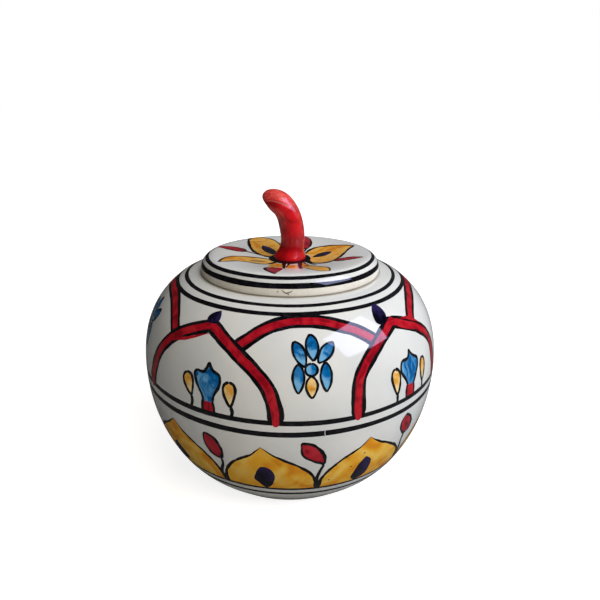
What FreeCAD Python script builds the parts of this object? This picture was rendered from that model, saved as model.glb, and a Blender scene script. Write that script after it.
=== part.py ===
import FreeCAD, Part
import math
import os

from FreeCAD import Vector

# A round ceramic jar with a lid that lifts off and a curved stem as the lid's handle.
# Millimetres, +Z up. The origin is the centre of the ring that the jar stands on,
# and -Y is the side that faces the viewer.

# Driving dimensions of the jar
belly_radius = 62.5
belly_height = 53.0
jar_height = 90.4
wall_thickness = 4.8
floor_thickness = 5.5
mouth_radius = 30.5
mouth_lip_round = 1.2
seat_margin = 1.3

# Foot ring
foot_height = 2.0
foot_radius = 36.0
foot_inset = 2.5
foot_width = 6.5
foot_edge_round = 0.6

# Lid plate
lid_overlap = 6.8
lid_thickness = 7.0
lid_rim_round = 5.2
lid_lower_edge_round = 0.5
lid_dish_depth = 2.2
stem_pad_margin = 0.2

# Locating ring under the lid, which centres the lid in the mouth
locating_clearance = 0.8
locating_width = 4.2
locating_depth = 6.5
locating_edge_round = 1.2

# Stem handle
stem_radius = 5.13
stem_flare_radius = 6.7
stem_flare_height = 6.5
stem_length = 32.2
stem_tip_length = 9.0
stem_offset_x = 0.9
stem_base_lean = math.radians(-2.3)
stem_tip_lean = math.radians(100.0)
stem_bend_power = 2.5

# Outline of the pot. Below the belly, each pair is the share of the way out from the
# underside's edge to the belly, and the share of the way up to it. Above the belly, it
# is the share of the way out from the seat's edge to the belly, and the share of the
# way up from the belly to the seat.
lower_outline_shares = (
    (0.0, 0.0),
    (0.362, 0.151),
    (0.602, 0.302),
    (0.783, 0.472),
    (0.900, 0.641),
    (0.972, 0.816),
)
upper_outline_shares = (
    (1.0, 0.0),
    (0.903, 0.456),
    (0.748, 0.668),
    (0.514, 0.845),
    (0.213, 0.974),
    (0.0, 1.0),
)

# Places along the stem, as shares of its straight part, and around its round tip
stem_shaft_shares = (0.0, 0.10, 0.24, 0.42, 0.58, 0.72, 0.85, 1.0)
stem_tip_shares = (0.30, 0.56, 0.76, 0.90, 0.98)
stem_path_steps = 240

# Derived heights and radii
underside_z = foot_height
floor_z = underside_z + floor_thickness
seat_z = jar_height
lid_top_z = seat_z + lid_thickness
stem_base_z = lid_top_z - lid_dish_depth
underside_radius = foot_radius + foot_inset
lid_radius = mouth_radius + lid_overlap
seat_radius = lid_radius + seat_margin
locating_radius = mouth_radius - locating_clearance
stem_pad_radius = stem_flare_radius + stem_offset_x + stem_pad_margin


def section_point(radius, height):
    """A point of a turned piece's section, which lies in the XZ plane."""
    return Vector(radius, 0, height)


def line(start, end):
    return Part.makeLine(start, end)


def quarter_round(start, corner, end):
    """A quarter circle from start to end, which bulges towards their corner."""
    middle = (start + end) * 0.5
    centre = start + end - corner
    radius = (start - centre).Length
    crown = centre + (middle - centre).normalize() * radius
    return Part.Arc(start, crown, end).toShape()


def turned(edges):
    """The solid that a closed section makes as it turns once about the Z axis."""
    section = Part.Face(Part.Wire(edges))
    return section.revolve(Vector(0, 0, 0), Vector(0, 0, 1), 360)


def pot_outline_points():
    """The outer outline's points, from the underside's edge up to the seat's edge."""
    points = []
    for out_share, up_share in lower_outline_shares:
        radius = underside_radius + (belly_radius - underside_radius) * out_share
        points.append(section_point(radius, underside_z + (belly_height - underside_z) * up_share))
    for out_share, up_share in upper_outline_shares:
        radius = seat_radius + (belly_radius - seat_radius) * out_share
        points.append(section_point(radius, belly_height + (seat_z - belly_height) * up_share))
    return points


def smooth_curve(points, end_tangent):
    """A smooth curve through the points, which ends along the given direction."""
    curve = Part.BSplineCurve()
    start_tangent = points[1] - points[0]
    curve.interpolate(Points=points, InitialTangent=start_tangent, FinalTangent=end_tangent)
    return curve


def inner_outline_points(outer_curve, outer_points):
    """The outer outline's points, each moved in by the wall's thickness."""
    points = []
    for point in outer_points:
        direction = outer_curve.tangent(outer_curve.parameter(point))[0]
        inward = Vector(-direction.z, 0, direction.x)
        points.append(point + inward * wall_thickness)
    return points


def make_jar_bowl():
    """The pot: one clay wall from the flat underside, round the belly, to the mouth."""
    outer_points = pot_outline_points()
    level_inward = Vector(-1, 0, 0)
    outer_curve = smooth_curve(outer_points, level_inward)
    below = section_point(0, underside_z)
    seat_inner = section_point(mouth_radius, seat_z)
    top_centre = section_point(0, seat_z)
    body = turned([
        line(below, outer_points[0]),
        outer_curve.toShape(),
        line(outer_points[-1], top_centre),
        line(top_centre, below),
    ])

    inner_points = inner_outline_points(outer_curve, outer_points)
    inner_curve = smooth_curve(inner_points, level_inward)
    low_centre = section_point(0, inner_points[0].z)
    high_centre = section_point(0, inner_points[-1].z)
    hollow = turned([
        line(low_centre, inner_points[0]),
        inner_curve.toShape(),
        line(inner_points[-1], high_centre),
        line(high_centre, low_centre),
    ])
    above_floor = Part.makeCylinder(belly_radius, seat_z - floor_z, Vector(0, 0, floor_z))
    hollow = hollow.common(above_floor)

    lip_outer = section_point(mouth_radius + mouth_lip_round, seat_z)
    lip_lower = section_point(mouth_radius, seat_z - mouth_lip_round)
    throat_low = section_point(mouth_radius, seat_z - 2 * wall_thickness)
    throat_low_centre = section_point(0, throat_low.z)
    mouth = turned([
        line(throat_low_centre, throat_low),
        line(throat_low, lip_lower),
        quarter_round(lip_lower, seat_inner, lip_outer),
        line(lip_outer, top_centre),
        line(top_centre, throat_low_centre),
    ])
    return body.cut(hollow).cut(mouth)


def ring_section(inner, outer, low, high, edge_round):
    """A ring's section with both lower edges rounded and a flat top."""
    inner_top = section_point(inner, high)
    outer_top = section_point(outer, high)
    outer_side = section_point(outer, low + edge_round)
    outer_low = section_point(outer - edge_round, low)
    inner_low = section_point(inner + edge_round, low)
    inner_side = section_point(inner, low + edge_round)
    return [
        line(inner_top, outer_top),
        line(outer_top, outer_side),
        quarter_round(outer_side, section_point(outer, low), outer_low),
        line(outer_low, inner_low),
        quarter_round(inner_low, section_point(inner, low), inner_side),
        line(inner_side, inner_top),
    ]


def make_foot_ring():
    """The low ring of bare clay that the jar stands on."""
    inner = foot_radius - foot_width
    return turned(ring_section(inner, foot_radius, 0, foot_height, foot_edge_round))


def make_lid_locating_ring():
    """The flange under the lid that drops into the mouth."""
    inner = locating_radius - locating_width
    low = seat_z - locating_depth
    return turned(ring_section(inner, locating_radius, low, seat_z, locating_edge_round))


def make_lid_plate():
    """The lid: flat below, with a rounded rim and a shallow dish around the stem."""
    below = section_point(0, seat_z)
    edge_below = section_point(lid_radius - lid_lower_edge_round, seat_z)
    edge_side = section_point(lid_radius, seat_z + lid_lower_edge_round)
    rim_side = section_point(lid_radius, lid_top_z - lid_rim_round)
    rim_corner = section_point(lid_radius, lid_top_z)
    crest = section_point(lid_radius - lid_rim_round, lid_top_z)
    pad_edge = section_point(stem_pad_radius, stem_base_z)
    pad_centre = section_point(0, stem_base_z)

    dish = Part.BSplineCurve()
    inward = Vector(-1, 0, 0)
    dish.interpolate(Points=[crest, pad_edge], InitialTangent=inward, FinalTangent=inward)
    return turned([
        line(below, edge_below),
        quarter_round(edge_below, section_point(lid_radius, seat_z), edge_side),
        line(edge_side, rim_side),
        quarter_round(rim_side, rim_corner, crest),
        dish.toShape(),
        line(pad_edge, pad_centre),
        line(pad_centre, below),
    ])


def stem_path(step_count):
    """The stem's centre line and its lean at even steps.

    The lean from upright is base + (tip - base) * share ** power, so the stem stands
    nearly straight on the lid and bends over more and more towards its tip.
    """
    step = stem_length / step_count
    place = Vector(stem_offset_x, 0, stem_base_z)
    stations = [(place, stem_base_lean)]
    for index in range(step_count):
        share = (index + 0.5) / step_count
        lean = stem_base_lean + (stem_tip_lean - stem_base_lean) * share ** stem_bend_power
        place = place + Vector(-math.sin(lean), 0, math.cos(lean)) * step
        stations.append((place, lean))
    return stations


def stem_radius_at(distance):
    """The shaft's radius, which flares out to meet the lid."""
    rest_share = max(0.0, 1 - distance / stem_flare_height)
    return stem_radius + (stem_flare_radius - stem_radius) * rest_share ** 2


def make_stem_handle():
    """The curved stem: round sections along its path, closed by a blunt round tip."""
    stations = stem_path(stem_path_steps)
    shaft_length = stem_length - stem_tip_length
    sections = []
    for share in stem_shaft_shares:
        distance = shaft_length * share
        sections.append((distance, stem_radius_at(distance)))
    for share in stem_tip_shares:
        distance = shaft_length + stem_tip_length * share
        sections.append((distance, stem_radius * math.sqrt(1 - share ** 2)))

    wires = []
    for distance, radius in sections:
        index = round(distance / stem_length * stem_path_steps)
        place, lean = stations[index]
        if index == 0:
            lean = 0
        direction = Vector(-math.sin(lean), 0, math.cos(lean))
        circle = Part.Circle(place, direction, radius)
        wires.append(Part.Wire(circle.toShape()))
    return Part.makeLoft(wires, True, False)


def main():
    os.makedirs("parts", exist_ok=True)
    nodes = {
        "jar_bowl": make_jar_bowl(),
        "foot_ring": make_foot_ring(),
        "lid_plate": make_lid_plate(),
        "lid_locating_ring": make_lid_locating_ring(),
        "stem_handle": make_stem_handle(),
    }
    for name, shape in nodes.items():
        shape.exportStep("parts/" + name + ".step")
        box = shape.BoundBox
        print(name, "volume", round(shape.Volume), "valid", shape.isValid(), "solids", len(shape.Solids))
        print("  x", round(box.XMin, 2), round(box.XMax, 2), "z", round(box.ZMin, 2), round(box.ZMax, 2))


main()
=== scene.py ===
# %% [markdown]
# This lesson dresses a round, hand-painted ceramic jar: a thick pot, a lid that lifts
# off, and a bent red stem on the lid as its handle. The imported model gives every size.
# The clay is turned on a wheel, so each shell here is a profile carried round an axis,
# and the decoration is laid on those shells stroke by stroke, as the painter laid it.

# %% The frame that everything is built around
import math
import bpy
import numpy as np
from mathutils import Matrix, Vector


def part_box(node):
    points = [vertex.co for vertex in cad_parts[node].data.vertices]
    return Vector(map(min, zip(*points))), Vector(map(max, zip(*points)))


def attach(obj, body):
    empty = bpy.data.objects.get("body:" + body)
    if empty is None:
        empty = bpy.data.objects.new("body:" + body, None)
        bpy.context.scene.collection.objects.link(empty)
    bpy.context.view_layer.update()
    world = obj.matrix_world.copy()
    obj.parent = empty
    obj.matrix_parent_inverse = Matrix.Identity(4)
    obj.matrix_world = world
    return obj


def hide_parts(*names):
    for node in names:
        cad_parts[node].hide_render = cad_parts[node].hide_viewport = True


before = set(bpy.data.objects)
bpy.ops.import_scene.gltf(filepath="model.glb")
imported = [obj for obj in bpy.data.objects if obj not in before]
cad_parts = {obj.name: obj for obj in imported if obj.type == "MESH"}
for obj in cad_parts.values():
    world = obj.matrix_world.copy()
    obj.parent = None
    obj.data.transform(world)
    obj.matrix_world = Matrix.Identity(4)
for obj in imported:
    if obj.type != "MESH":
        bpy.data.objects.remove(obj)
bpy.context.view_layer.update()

MM = 0.001
FULL_TURN = 2 * math.pi

jar_low, jar_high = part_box("jar_bowl")
_, lid_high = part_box("lid_plate")
belly_radius = jar_high.x / MM
seat_z = jar_high.z / MM
lid_top_z = lid_high.z / MM
lid_radius = lid_high.x / MM
print("belly radius", round(belly_radius, 2), "seat", round(seat_z, 2), "lid top", round(lid_top_z, 2))

# %% [markdown]
# The jar's outline is the same row of points as in the solid model, given as shares
# between its named radii and heights. A straight line between two points would show as
# a facet in a glossy glaze, so a cubic spline runs through them. Its slopes come from
# one small linear system, which keeps the curvature continuous from span to span.

# %% A smooth curve through a few points
def smooth_curve(points, count, start=None, end=None):
    """A cubic spline through the points, at count even steps of its chord length.

    Each span is a cubic that leaves and arrives with the slopes at its two points. Inside,
    the slopes make the second derivative continuous. At an end the slope is the one that
    is given, or else the end's curvature is zero.
    """
    points = np.asarray(points, float)
    chords = np.diff(points, axis=0)
    spans = np.maximum(np.linalg.norm(chords, axis=1), 1e-9)
    steep = chords / spans[:, None]
    size = len(points)
    system = np.zeros((size, size))
    target = np.zeros_like(points)
    inner = np.arange(1, size - 1)
    system[inner, inner - 1] = spans[1:]
    system[inner, inner] = 2 * (spans[:-1] + spans[1:])
    system[inner, inner + 1] = spans[:-1]
    target[1:-1] = 3 * (spans[1:, None] * steep[:-1] + spans[:-1, None] * steep[1:])
    system[0, :2] = (2, 1) if start is None else (1, 0)
    target[0] = 3 * steep[0] if start is None else start
    system[-1, -2:] = (1, 2) if end is None else (0, 1)
    target[-1] = 3 * steep[-1] if end is None else end
    slopes = np.linalg.solve(system, target)
    knots = np.concatenate([[0], np.cumsum(spans)])
    at = np.linspace(0, knots[-1], count)
    span = np.clip(np.searchsorted(knots, at, side="right") - 1, 0, size - 2)
    share = ((at - knots[span]) / spans[span])[:, None]
    width = spans[span][:, None]
    rest = 1 - share
    from_start = points[span] * (1 + 2 * share) + slopes[span] * width * share
    from_end = points[span + 1] * (3 - 2 * share) - slopes[span + 1] * width * rest
    return from_start * rest ** 2 + from_end * share ** 2

# %% [markdown]
# Below the belly each pair of shares says how far out from the underside's edge, and how
# far up to the belly, a point of the outline lies. Above the belly a pair says how far
# out from the seat's edge and how far up to the seat. The curve ends level there, where
# the potter flattened the rim for the lid to sit on.

# %% The jar's named sizes, in millimetres, and its outline
belly_height = 53.0
wall_thickness = 4.8
floor_z = 7.5
mouth_radius = 30.5
seat_margin = 1.3
seat_radius = lid_radius + seat_margin
underside_z = jar_low.z / MM
underside_radius = 38.5
glaze_inset = 0.08
outline_spots = 1600

lower_shares = np.array([
    (0.0, 0.0), (0.362, 0.151), (0.602, 0.302), (0.783, 0.472), (0.900, 0.641), (0.972, 0.816),
])
upper_shares = np.array([
    (1.0, 0.0), (0.903, 0.456), (0.748, 0.668), (0.514, 0.845), (0.213, 0.974), (0.0, 1.0),
])
lower_start = np.array([underside_radius, underside_z])
lower_reach = np.array([belly_radius - underside_radius, belly_height - underside_z])
upper_start = np.array([seat_radius, belly_height])
upper_reach = np.array([belly_radius - seat_radius, seat_z - belly_height])
outline_points = np.vstack([
    lower_start + lower_reach * lower_shares,
    upper_start + upper_reach * upper_shares,
])
first_heading = outline_points[1] - outline_points[0]
first_heading = first_heading / np.linalg.norm(first_heading)
level_inwards = (-1, 0)
jar_outline = smooth_curve(outline_points, outline_spots, start=first_heading, end=level_inwards)
print("outline's widest radius", round(jar_outline[:, 0].max(), 3))

# %% [markdown]
# A painter thinks of two directions on the pot: round it and up it. So does this
# lesson. A turned surface answers where a spot lies when it is given a turn about the
# axis and a distance along the outline, plus the way the glaze faces there. Paint that
# is placed by those two numbers follows the curve of the pot by itself.

# %% A turned surface, as a function of two numbers
class TurnedSurface:
    """What an outline makes as it turns about the upright axis.

    A spot is (turn, along): the turn in radians from the front towards the right, and the
    distance along the outline in millimetres. Its radius and height are read off the
    outline, then the radius swings to (sin turn, -cos turn), and the spot moves out along
    the outline's normal by the lift. The hand of the thrower pulls the radius in a little
    by slow waves round the pot, and a tilt raises the front against the back.
    """

    def __init__(self, outline, waver=0.0, tilt=0.0, tilt_from=0.0, tilt_height=1.0):
        self.outline = np.asarray(outline, float)
        steps = np.diff(self.outline, axis=0)
        lengths = np.hypot(steps[:, 0], steps[:, 1])
        self.along = np.concatenate([[0], np.cumsum(lengths)])
        slope = np.gradient(self.outline, self.along, axis=0)
        slope = slope / np.linalg.norm(slope, axis=1)[:, None]
        self.facing = np.stack([slope[:, 1], -slope[:, 0]], axis=1)
        self.waver = waver
        self.tilt = tilt
        self.tilt_from = tilt_from
        self.tilt_height = tilt_height
        self.length = self.along[-1]

    def radius(self, along):
        """The radius at a distance along the outline, but never under half a millimetre."""
        return np.maximum(np.interp(along, self.along, self.outline[:, 0]), 0.5)

    def along_at_radius(self, radius):
        """The distance along the outline at a radius, on the stretch where it runs outwards."""
        return np.interp(radius, self.outline[:, 0], self.along)

    def pulled_in(self, turn):
        """How far the wall is pulled in: a constant and two slow waves, times the waver."""
        return self.waver * (0.55 + 0.3 * np.cos(2 * turn - 0.9) + 0.15 * np.cos(3 * turn + 1.7))

    def spot(self, turn, along, lift=0.0):
        """The spots' places and the ways they face, three numbers each on the last axis."""
        radius = np.interp(along, self.along, self.outline[:, 0])
        height = np.interp(along, self.along, self.outline[:, 1])
        out = np.interp(along, self.along, self.facing[:, 0])
        up = np.interp(along, self.along, self.facing[:, 1])
        radius = radius + lift * out - self.pulled_in(turn)
        height = height + lift * up
        rise = np.clip((height - self.tilt_from) / self.tilt_height, 0, 1)
        x = radius * np.sin(turn)
        y = -radius * np.cos(turn)
        place = np.stack([x, y, height - self.tilt * y * rise], axis=-1)
        faces = np.stack([out * np.sin(turn), -out * np.cos(turn), up], axis=-1)
        faces[..., 1] += self.tilt * rise * up
        return place, faces / np.linalg.norm(faces, axis=-1, keepdims=True)


jar_waver = 0.22
jar_wall = TurnedSurface(jar_outline, waver=jar_waver)
print("the wall measures", round(jar_wall.length, 1), "mm from foot to seat")

# %% [markdown]
# Every piece ends as one closed mesh at the origin. A grid of rows and columns is
# enough for all of them: where it runs into itself the last row joins the first, and
# where it ends in a point on the axis, one vertex closes it with a fan of triangles.

# %% Grids, fans and the mesh that holds them
def grid_faces(rows, columns, wrap_rows=False, wrap_columns=False):
    """The four-sided faces between neighbours of a grid whose vertices run row by row."""
    row = np.arange(rows if wrap_rows else rows - 1)
    column = np.arange(columns if wrap_columns else columns - 1)
    row, column = np.meshgrid(row, column, indexing="ij")
    next_row = (row + 1) % rows
    next_column = (column + 1) % columns
    corners = (row * columns + column, row * columns + next_column,
               next_row * columns + next_column, next_row * columns + column)
    return np.stack(corners, axis=-1).reshape(-1, 4)


def fan_faces(centre, ring):
    """Triangles from one vertex to each edge of a ring of vertices."""
    return np.stack([np.full(len(ring), centre), ring, np.roll(ring, -1)], axis=-1)


def add_piece(name, points, quads, triangles=None, body="jar", slot="glazed_body"):
    """An object at the origin whose mesh holds the points, given in millimetres, and the faces."""
    faces = quads.tolist()
    if triangles is not None:
        faces = faces + triangles.tolist()
    mesh = bpy.data.meshes.new(name)
    mesh.from_pydata((np.asarray(points) * MM).tolist(), [], faces)
    mesh.polygons.foreach_set("use_smooth", np.ones(len(faces), bool))
    mesh.update()
    piece = bpy.data.objects.new(name, mesh)
    bpy.context.scene.collection.objects.link(piece)
    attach(piece, body)
    print(name, "has", len(points), "vertices and", len(faces), "faces")
    return piece


def store(piece, name, values):
    """Keeps one number with each vertex, under a name that a material can read."""
    layer = piece.data.attributes.new(name, "FLOAT", "POINT")
    layer.data.foreach_set("value", values.astype(np.float32))

# %% [markdown]
# A profile goes once round the axis and makes a closed shell. A ring's profile joins
# itself, and that of the pot or the lid begins and ends on the axis.

# %% A profile carried round the axis
def turned_piece(name, profile, around, surface=None, closed=False, **piece_facts):
    """A closed shell: the profile's rows carried round the axis in even turns.

    Row i, column j lies at radius r_i and turn 2 pi j / around. A closed profile joins its
    last row to its first. An open one begins and ends on the axis, in a fan each.
    """
    profile = np.asarray(profile, float)
    turn = np.arange(around) * FULL_TURN / around
    rows = profile if closed else profile[1:-1]
    radius = rows[:, 0][:, None]
    height = rows[:, 1][:, None] + 0 * turn[None, :]
    if surface is not None:
        radius = radius - surface.pulled_in(turn)
        rise = np.clip((height - surface.tilt_from) / surface.tilt_height, 0, 1)
        height = height + surface.tilt * radius * np.cos(turn) * rise
    points = np.stack([radius * np.sin(turn), -radius * np.cos(turn), height], axis=-1).reshape(-1, 3)
    quads = grid_faces(len(rows), around, wrap_rows=closed, wrap_columns=True)
    if closed:
        return add_piece(name, points, quads, **piece_facts)
    first = len(points)
    ring = np.arange(around)
    ends = np.array([[0, 0, profile[0, 1]], [0, 0, profile[-1, 1]]])
    low_fan = fan_faces(first, ring[::-1])
    high_fan = fan_faces(first + 1, ring + (len(rows) - 1) * around)
    points = np.vstack([points, ends])
    return add_piece(name, points, quads, np.vstack([low_fan, high_fan]), **piece_facts)

# %% [markdown]
# The pot is one wall of clay 4.8 mm thick. Its inner outline is the outer one moved in
# along its normals, cut off at the floor and at the mouth. Fingers and a sponge round
# every inner corner, so that part of the profile is blurred along its own length, which
# rounds a corner without a list of fillets.

# %% Profiles that fingers have rounded
def spaced(profile, step):
    """The same line with its points a step apart."""
    steps = np.diff(profile, axis=0)
    along = np.concatenate([[0], np.cumsum(np.hypot(steps[:, 0], steps[:, 1]))])
    at = np.linspace(0, along[-1], max(2, round(along[-1] / step) + 1))
    return np.stack([np.interp(at, along, profile[:, 0]), np.interp(at, along, profile[:, 1])], axis=1)


def rounded(profile, reach, step):
    """The line with each point moved to the weighted average of its neighbours within the reach."""
    fine_step = 0.1
    fine = spaced(np.asarray(profile, float), fine_step)
    half = round(reach / fine_step)
    padded = np.vstack([2 * fine[:1] - fine[half:0:-1], fine, 2 * fine[-1:] - fine[-2:-half - 2:-1]])
    weights = np.hanning(2 * half + 3)[1:-1]
    weights = weights / weights.sum()
    blurred = np.stack([np.convolve(padded[:, k], weights, mode="valid") for k in range(2)], axis=1)
    return spaced(blurred, step)

# %% [markdown]
# The shell lies 0.08 mm inside the solid's outline, because the paint goes on top and
# the dressed jar may not outgrow its box. From the axis its profile runs out under the
# pot, up the outside, over the seat, down the throat and the inside of the wall, and back
# to the axis along the floor. The steps are finest outside, where they are seen.

# %% The pot
throat_bevel = 0.4
inside_rounding = 0.9
around_pot = 300

outer_wall = jar_wall.outline - glaze_inset * jar_wall.facing
jar_paint_wall = TurnedSurface(outer_wall, waver=jar_wall.waver)
inner_wall = jar_wall.outline - wall_thickness * jar_wall.facing
inside = (inner_wall[:, 1] > floor_z) & (inner_wall[:, 0] > mouth_radius)
inner_wall = inner_wall[inside][::-1]
throat_top = seat_z - glaze_inset
floor_middle = (0, floor_z)
seat_to_floor = np.vstack([
    outer_wall[-1],
    (mouth_radius + throat_bevel, throat_top),
    (mouth_radius, throat_top - throat_bevel),
    (mouth_radius, inner_wall[0, 1]),
    inner_wall,
    floor_middle,
])
inside_profile = rounded(seat_to_floor, inside_rounding, step=1.5)
outside_profile = spaced(outer_wall, step=1.25)
underside = spaced(np.array([(0, outer_wall[0, 1]), outer_wall[0]]), step=4.0)
pot_profile = np.vstack([underside[:-1], outside_profile, inside_profile[1:-1], floor_middle])
jar_shell = turned_piece("jar_glazed_shell", pot_profile, around_pot, surface=jar_wall)
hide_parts("jar_bowl")

# %% [markdown]
# A glazed base would fuse to the kiln's shelf, so the jar stands on a low ring of bare
# clay. Its section is a rectangle with two rounded corners below. The top of the ring
# reaches a little way up into the pot, so that no gap can show between them.

# %% The foot ring that it stands on
foot_radius = 36.0
foot_width = 6.5
foot_edge_round = 0.7
foot_into_pot = 0.4
around_foot_ring = 240


def ring_profile(inner, outer, low, high, edge_round):
    """A ring's section, anticlockwise from its inner top.

    The two lower corners are quarter circles. Along one of them the distance from the side
    grows as 1 - cos of the swing while the height above the low face shrinks as 1 - sin.
    """
    swing = np.linspace(0, math.pi / 2, 6)
    growing = edge_round * (1 - np.cos(swing))
    shrinking = edge_round * (1 - np.sin(swing))
    inner_corner = np.stack([inner + growing, low + shrinking], axis=1)
    outer_corner = np.stack([outer - shrinking, low + growing], axis=1)
    flat = np.linspace(inner + edge_round, outer - edge_round, 8)[1:-1]
    low_face = np.stack([flat, np.full(len(flat), low)], axis=1)
    return np.vstack([(inner, high), inner_corner, low_face, outer_corner, (outer, high)])


foot_profile = ring_profile(foot_radius - foot_width, foot_radius, 0.0, underside_z + foot_into_pot,
                            foot_edge_round)
foot_shell = turned_piece("jar_foot_ring", foot_profile, around_foot_ring, closed=True, slot="bare_clay")
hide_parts("foot_ring")

# %% [markdown]
# The lid is a disc of clay, turned too: a shallow dish round the stem, a soft crest, a
# rounded rim and a straight side. It warped a little in the kiln, and its front stands
# higher than its back, which the surface's tilt repeats. The flange below, which drops
# into the mouth, is a separate ring of clay.

# %% The lid's outline, from the middle of the top, out and over the rim
lid_rim_round = 5.2
lid_dish_depth = 2.2
lid_lower_edge = 0.5
lid_lower_edge_middle = 0.15
lid_front_rise = 0.75
lid_still_height = 0.6
around_lid = 240
stem_flare_radius = 6.7
stem_offset_x = 0.9
stem_pad_margin = 0.2
stem_pad_radius = stem_flare_radius + stem_offset_x + stem_pad_margin
stem_base_z = lid_top_z - lid_dish_depth
crest_radius = lid_radius - lid_rim_round

dish_share = np.linspace(0, 1, 60)
dish_radius = stem_pad_radius + (crest_radius - stem_pad_radius) * dish_share
dish_height = stem_base_z + lid_dish_depth * dish_share ** 2 * (3 - 2 * dish_share)
rim_swing = np.linspace(0, math.pi / 2, 40)[1:]
rim_radius = crest_radius + lid_rim_round * np.sin(rim_swing)
rim_height = lid_top_z - lid_rim_round * (1 - np.cos(rim_swing))
stem_pad = np.array([(0, stem_base_z), (stem_pad_radius, stem_base_z)])
lid_side = np.array([(lid_radius, rim_height[-1]), (lid_radius, seat_z + lid_lower_edge)])
lid_outline = np.vstack([
    spaced(stem_pad, step=0.5)[:-1],
    np.stack([dish_radius, dish_height], axis=1),
    np.stack([rim_radius, rim_height], axis=1),
    spaced(lid_side, step=0.2)[1:],
    (lid_radius - lid_lower_edge_middle, seat_z + lid_lower_edge_middle),
    (lid_radius - lid_lower_edge, seat_z),
])
lid_tilt = lid_front_rise / lid_radius


def as_turned_top(outline, **facts):
    """A turned surface whose outline runs outwards and down: its normals, turned over, face out."""
    surface = TurnedSurface(outline, **facts)
    surface.facing = -surface.facing
    return surface


lid_top = as_turned_top(lid_outline, tilt=lid_tilt, tilt_from=seat_z + lid_still_height,
                        tilt_height=lid_top_z - seat_z)
lid_underside = spaced(np.array([(lid_radius - lid_lower_edge, seat_z), (0, seat_z)]), step=2.0)
lid_profile = np.vstack([spaced(lid_outline[:-1], step=0.8), lid_underside])
lid_shell = turned_piece("lid_glazed_shell", lid_profile[::-1], around_lid, surface=lid_top,
                         body="lid", slot="glazed_lid")
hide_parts("lid_plate")

# %% [markdown]
# The flange keeps the lid from sliding off. It drops 6.5 mm into the mouth and has
# 0.8 mm to spare all round, because clay warps in the kiln and a tighter ring would
# stick. It has the foot ring's kind of section, and its top reaches into the lid.

# %% The flange under the lid
locating_clearance = 0.8
locating_width = 4.2
locating_depth = 6.5
locating_edge_round = 1.2
locating_into_lid = 0.3
around_flange = 200
locating_radius = mouth_radius - locating_clearance
flange_profile = ring_profile(locating_radius - locating_width, locating_radius, seat_z - locating_depth,
                              seat_z + locating_into_lid, locating_edge_round)
flange = turned_piece("lid_locating_flange", flange_profile, around_flange, closed=True,
                      body="lid", slot="bare_clay")
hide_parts("lid_locating_ring")

# %% [markdown]
# The handle is a coil of clay as thick as a finger. It stands up, then leans over more
# and more towards its blunt tip. It is a circle carried along that path. Where the
# coil was bent, the clay folded into a crease below the tip, and a wet finger left it
# slightly uneven, so the circle's radius changes a little along and around the stem.

# %% The stem's path and its thickness
stem_radius = 5.13
stem_flare_height = 6.5
stem_length = 32.2
stem_tip_length = 9.0
stem_base_lean = math.radians(-2.3)
stem_tip_lean = math.radians(100.0)
stem_bend_power = 2.5
path_steps = 600

stem_share = (np.arange(path_steps) + 0.5) / path_steps
lean_along = stem_base_lean + (stem_tip_lean - stem_base_lean) * stem_share ** stem_bend_power
stem_step = stem_length / path_steps
path_x = stem_offset_x - np.concatenate([[0], np.cumsum(np.sin(lean_along))]) * stem_step
path_z = stem_base_z + np.concatenate([[0], np.cumsum(np.cos(lean_along))]) * stem_step
path_distance = np.linspace(0, stem_length, len(path_x))
print("the stem's tip ends at x", round(path_x[-1], 2), "and z", round(path_z[-1], 2))


def stem_thickness(distance):
    """The coil's radius: flared at the foot by a square law, and an ellipse's outline at the tip."""
    flare = np.clip(1 - distance / stem_flare_height, 0, 1)
    radius = stem_radius + (stem_flare_radius - stem_radius) * flare ** 2
    tip = np.clip((distance - stem_length + stem_tip_length) / stem_tip_length, 0, 1)
    return radius * np.sqrt(1 - tip ** 2)

# %% [markdown]
# The stem's skin is a grid of rows along the path and places round it. A place's swing
# is its angle from the front towards the right. Towards the tip the rows come closer
# together, because the skin turns fastest there. The potter set the foot of the coil a
# little to the left of its path, so the lowest rows are moved by up to 1.1 mm.

# %% Rows along the stem and places round it
stem_sides = 144
foot_set_left = 1.1
foot_set_height = 9
tip_swing = np.linspace(0, math.pi / 2, 40)[:-1]
straight_rows = np.linspace(0, stem_length - stem_tip_length, 110)[:-1]
tip_rows = stem_length - stem_tip_length * (1 - np.sin(tip_swing))
stem_rows = np.concatenate([straight_rows, tip_rows])
around_stem = np.arange(stem_sides) * FULL_TURN / stem_sides
row, swing = np.meshgrid(stem_rows, around_stem, indexing="ij")
lean = np.interp(row, path_distance[1:], lean_along)
set_left = foot_set_left * np.clip(1 - row / foot_set_height, 0, 1) ** 1.6
centre_x = np.interp(row, path_distance, path_x) - set_left
centre_z = np.interp(row, path_distance, path_z)
print("the stem's grid has", row.shape[0], "rows of", row.shape[1])

# %% [markdown]
# The crease starts in front on the right and winds to the left on its way up to the tip.
# A spot's distance from it is the difference of their swings times the stem's radius.
# The groove is a narrow bell curve of that distance, and the clay that the fold pushed
# up is a wider and lower one beside it. Both fade out at the two ends of the crease.

# %% The crease below the tip
crease_start = 21.0
crease_end = 31.2
crease_fade_in = 4.0
crease_fade_out = 1.2
tip_left_smooth = 0.4
groove_depth = 0.34
groove_width = 0.38
lip_height = 0.10
lip_middle = 1.1
lip_width = 0.8

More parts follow.
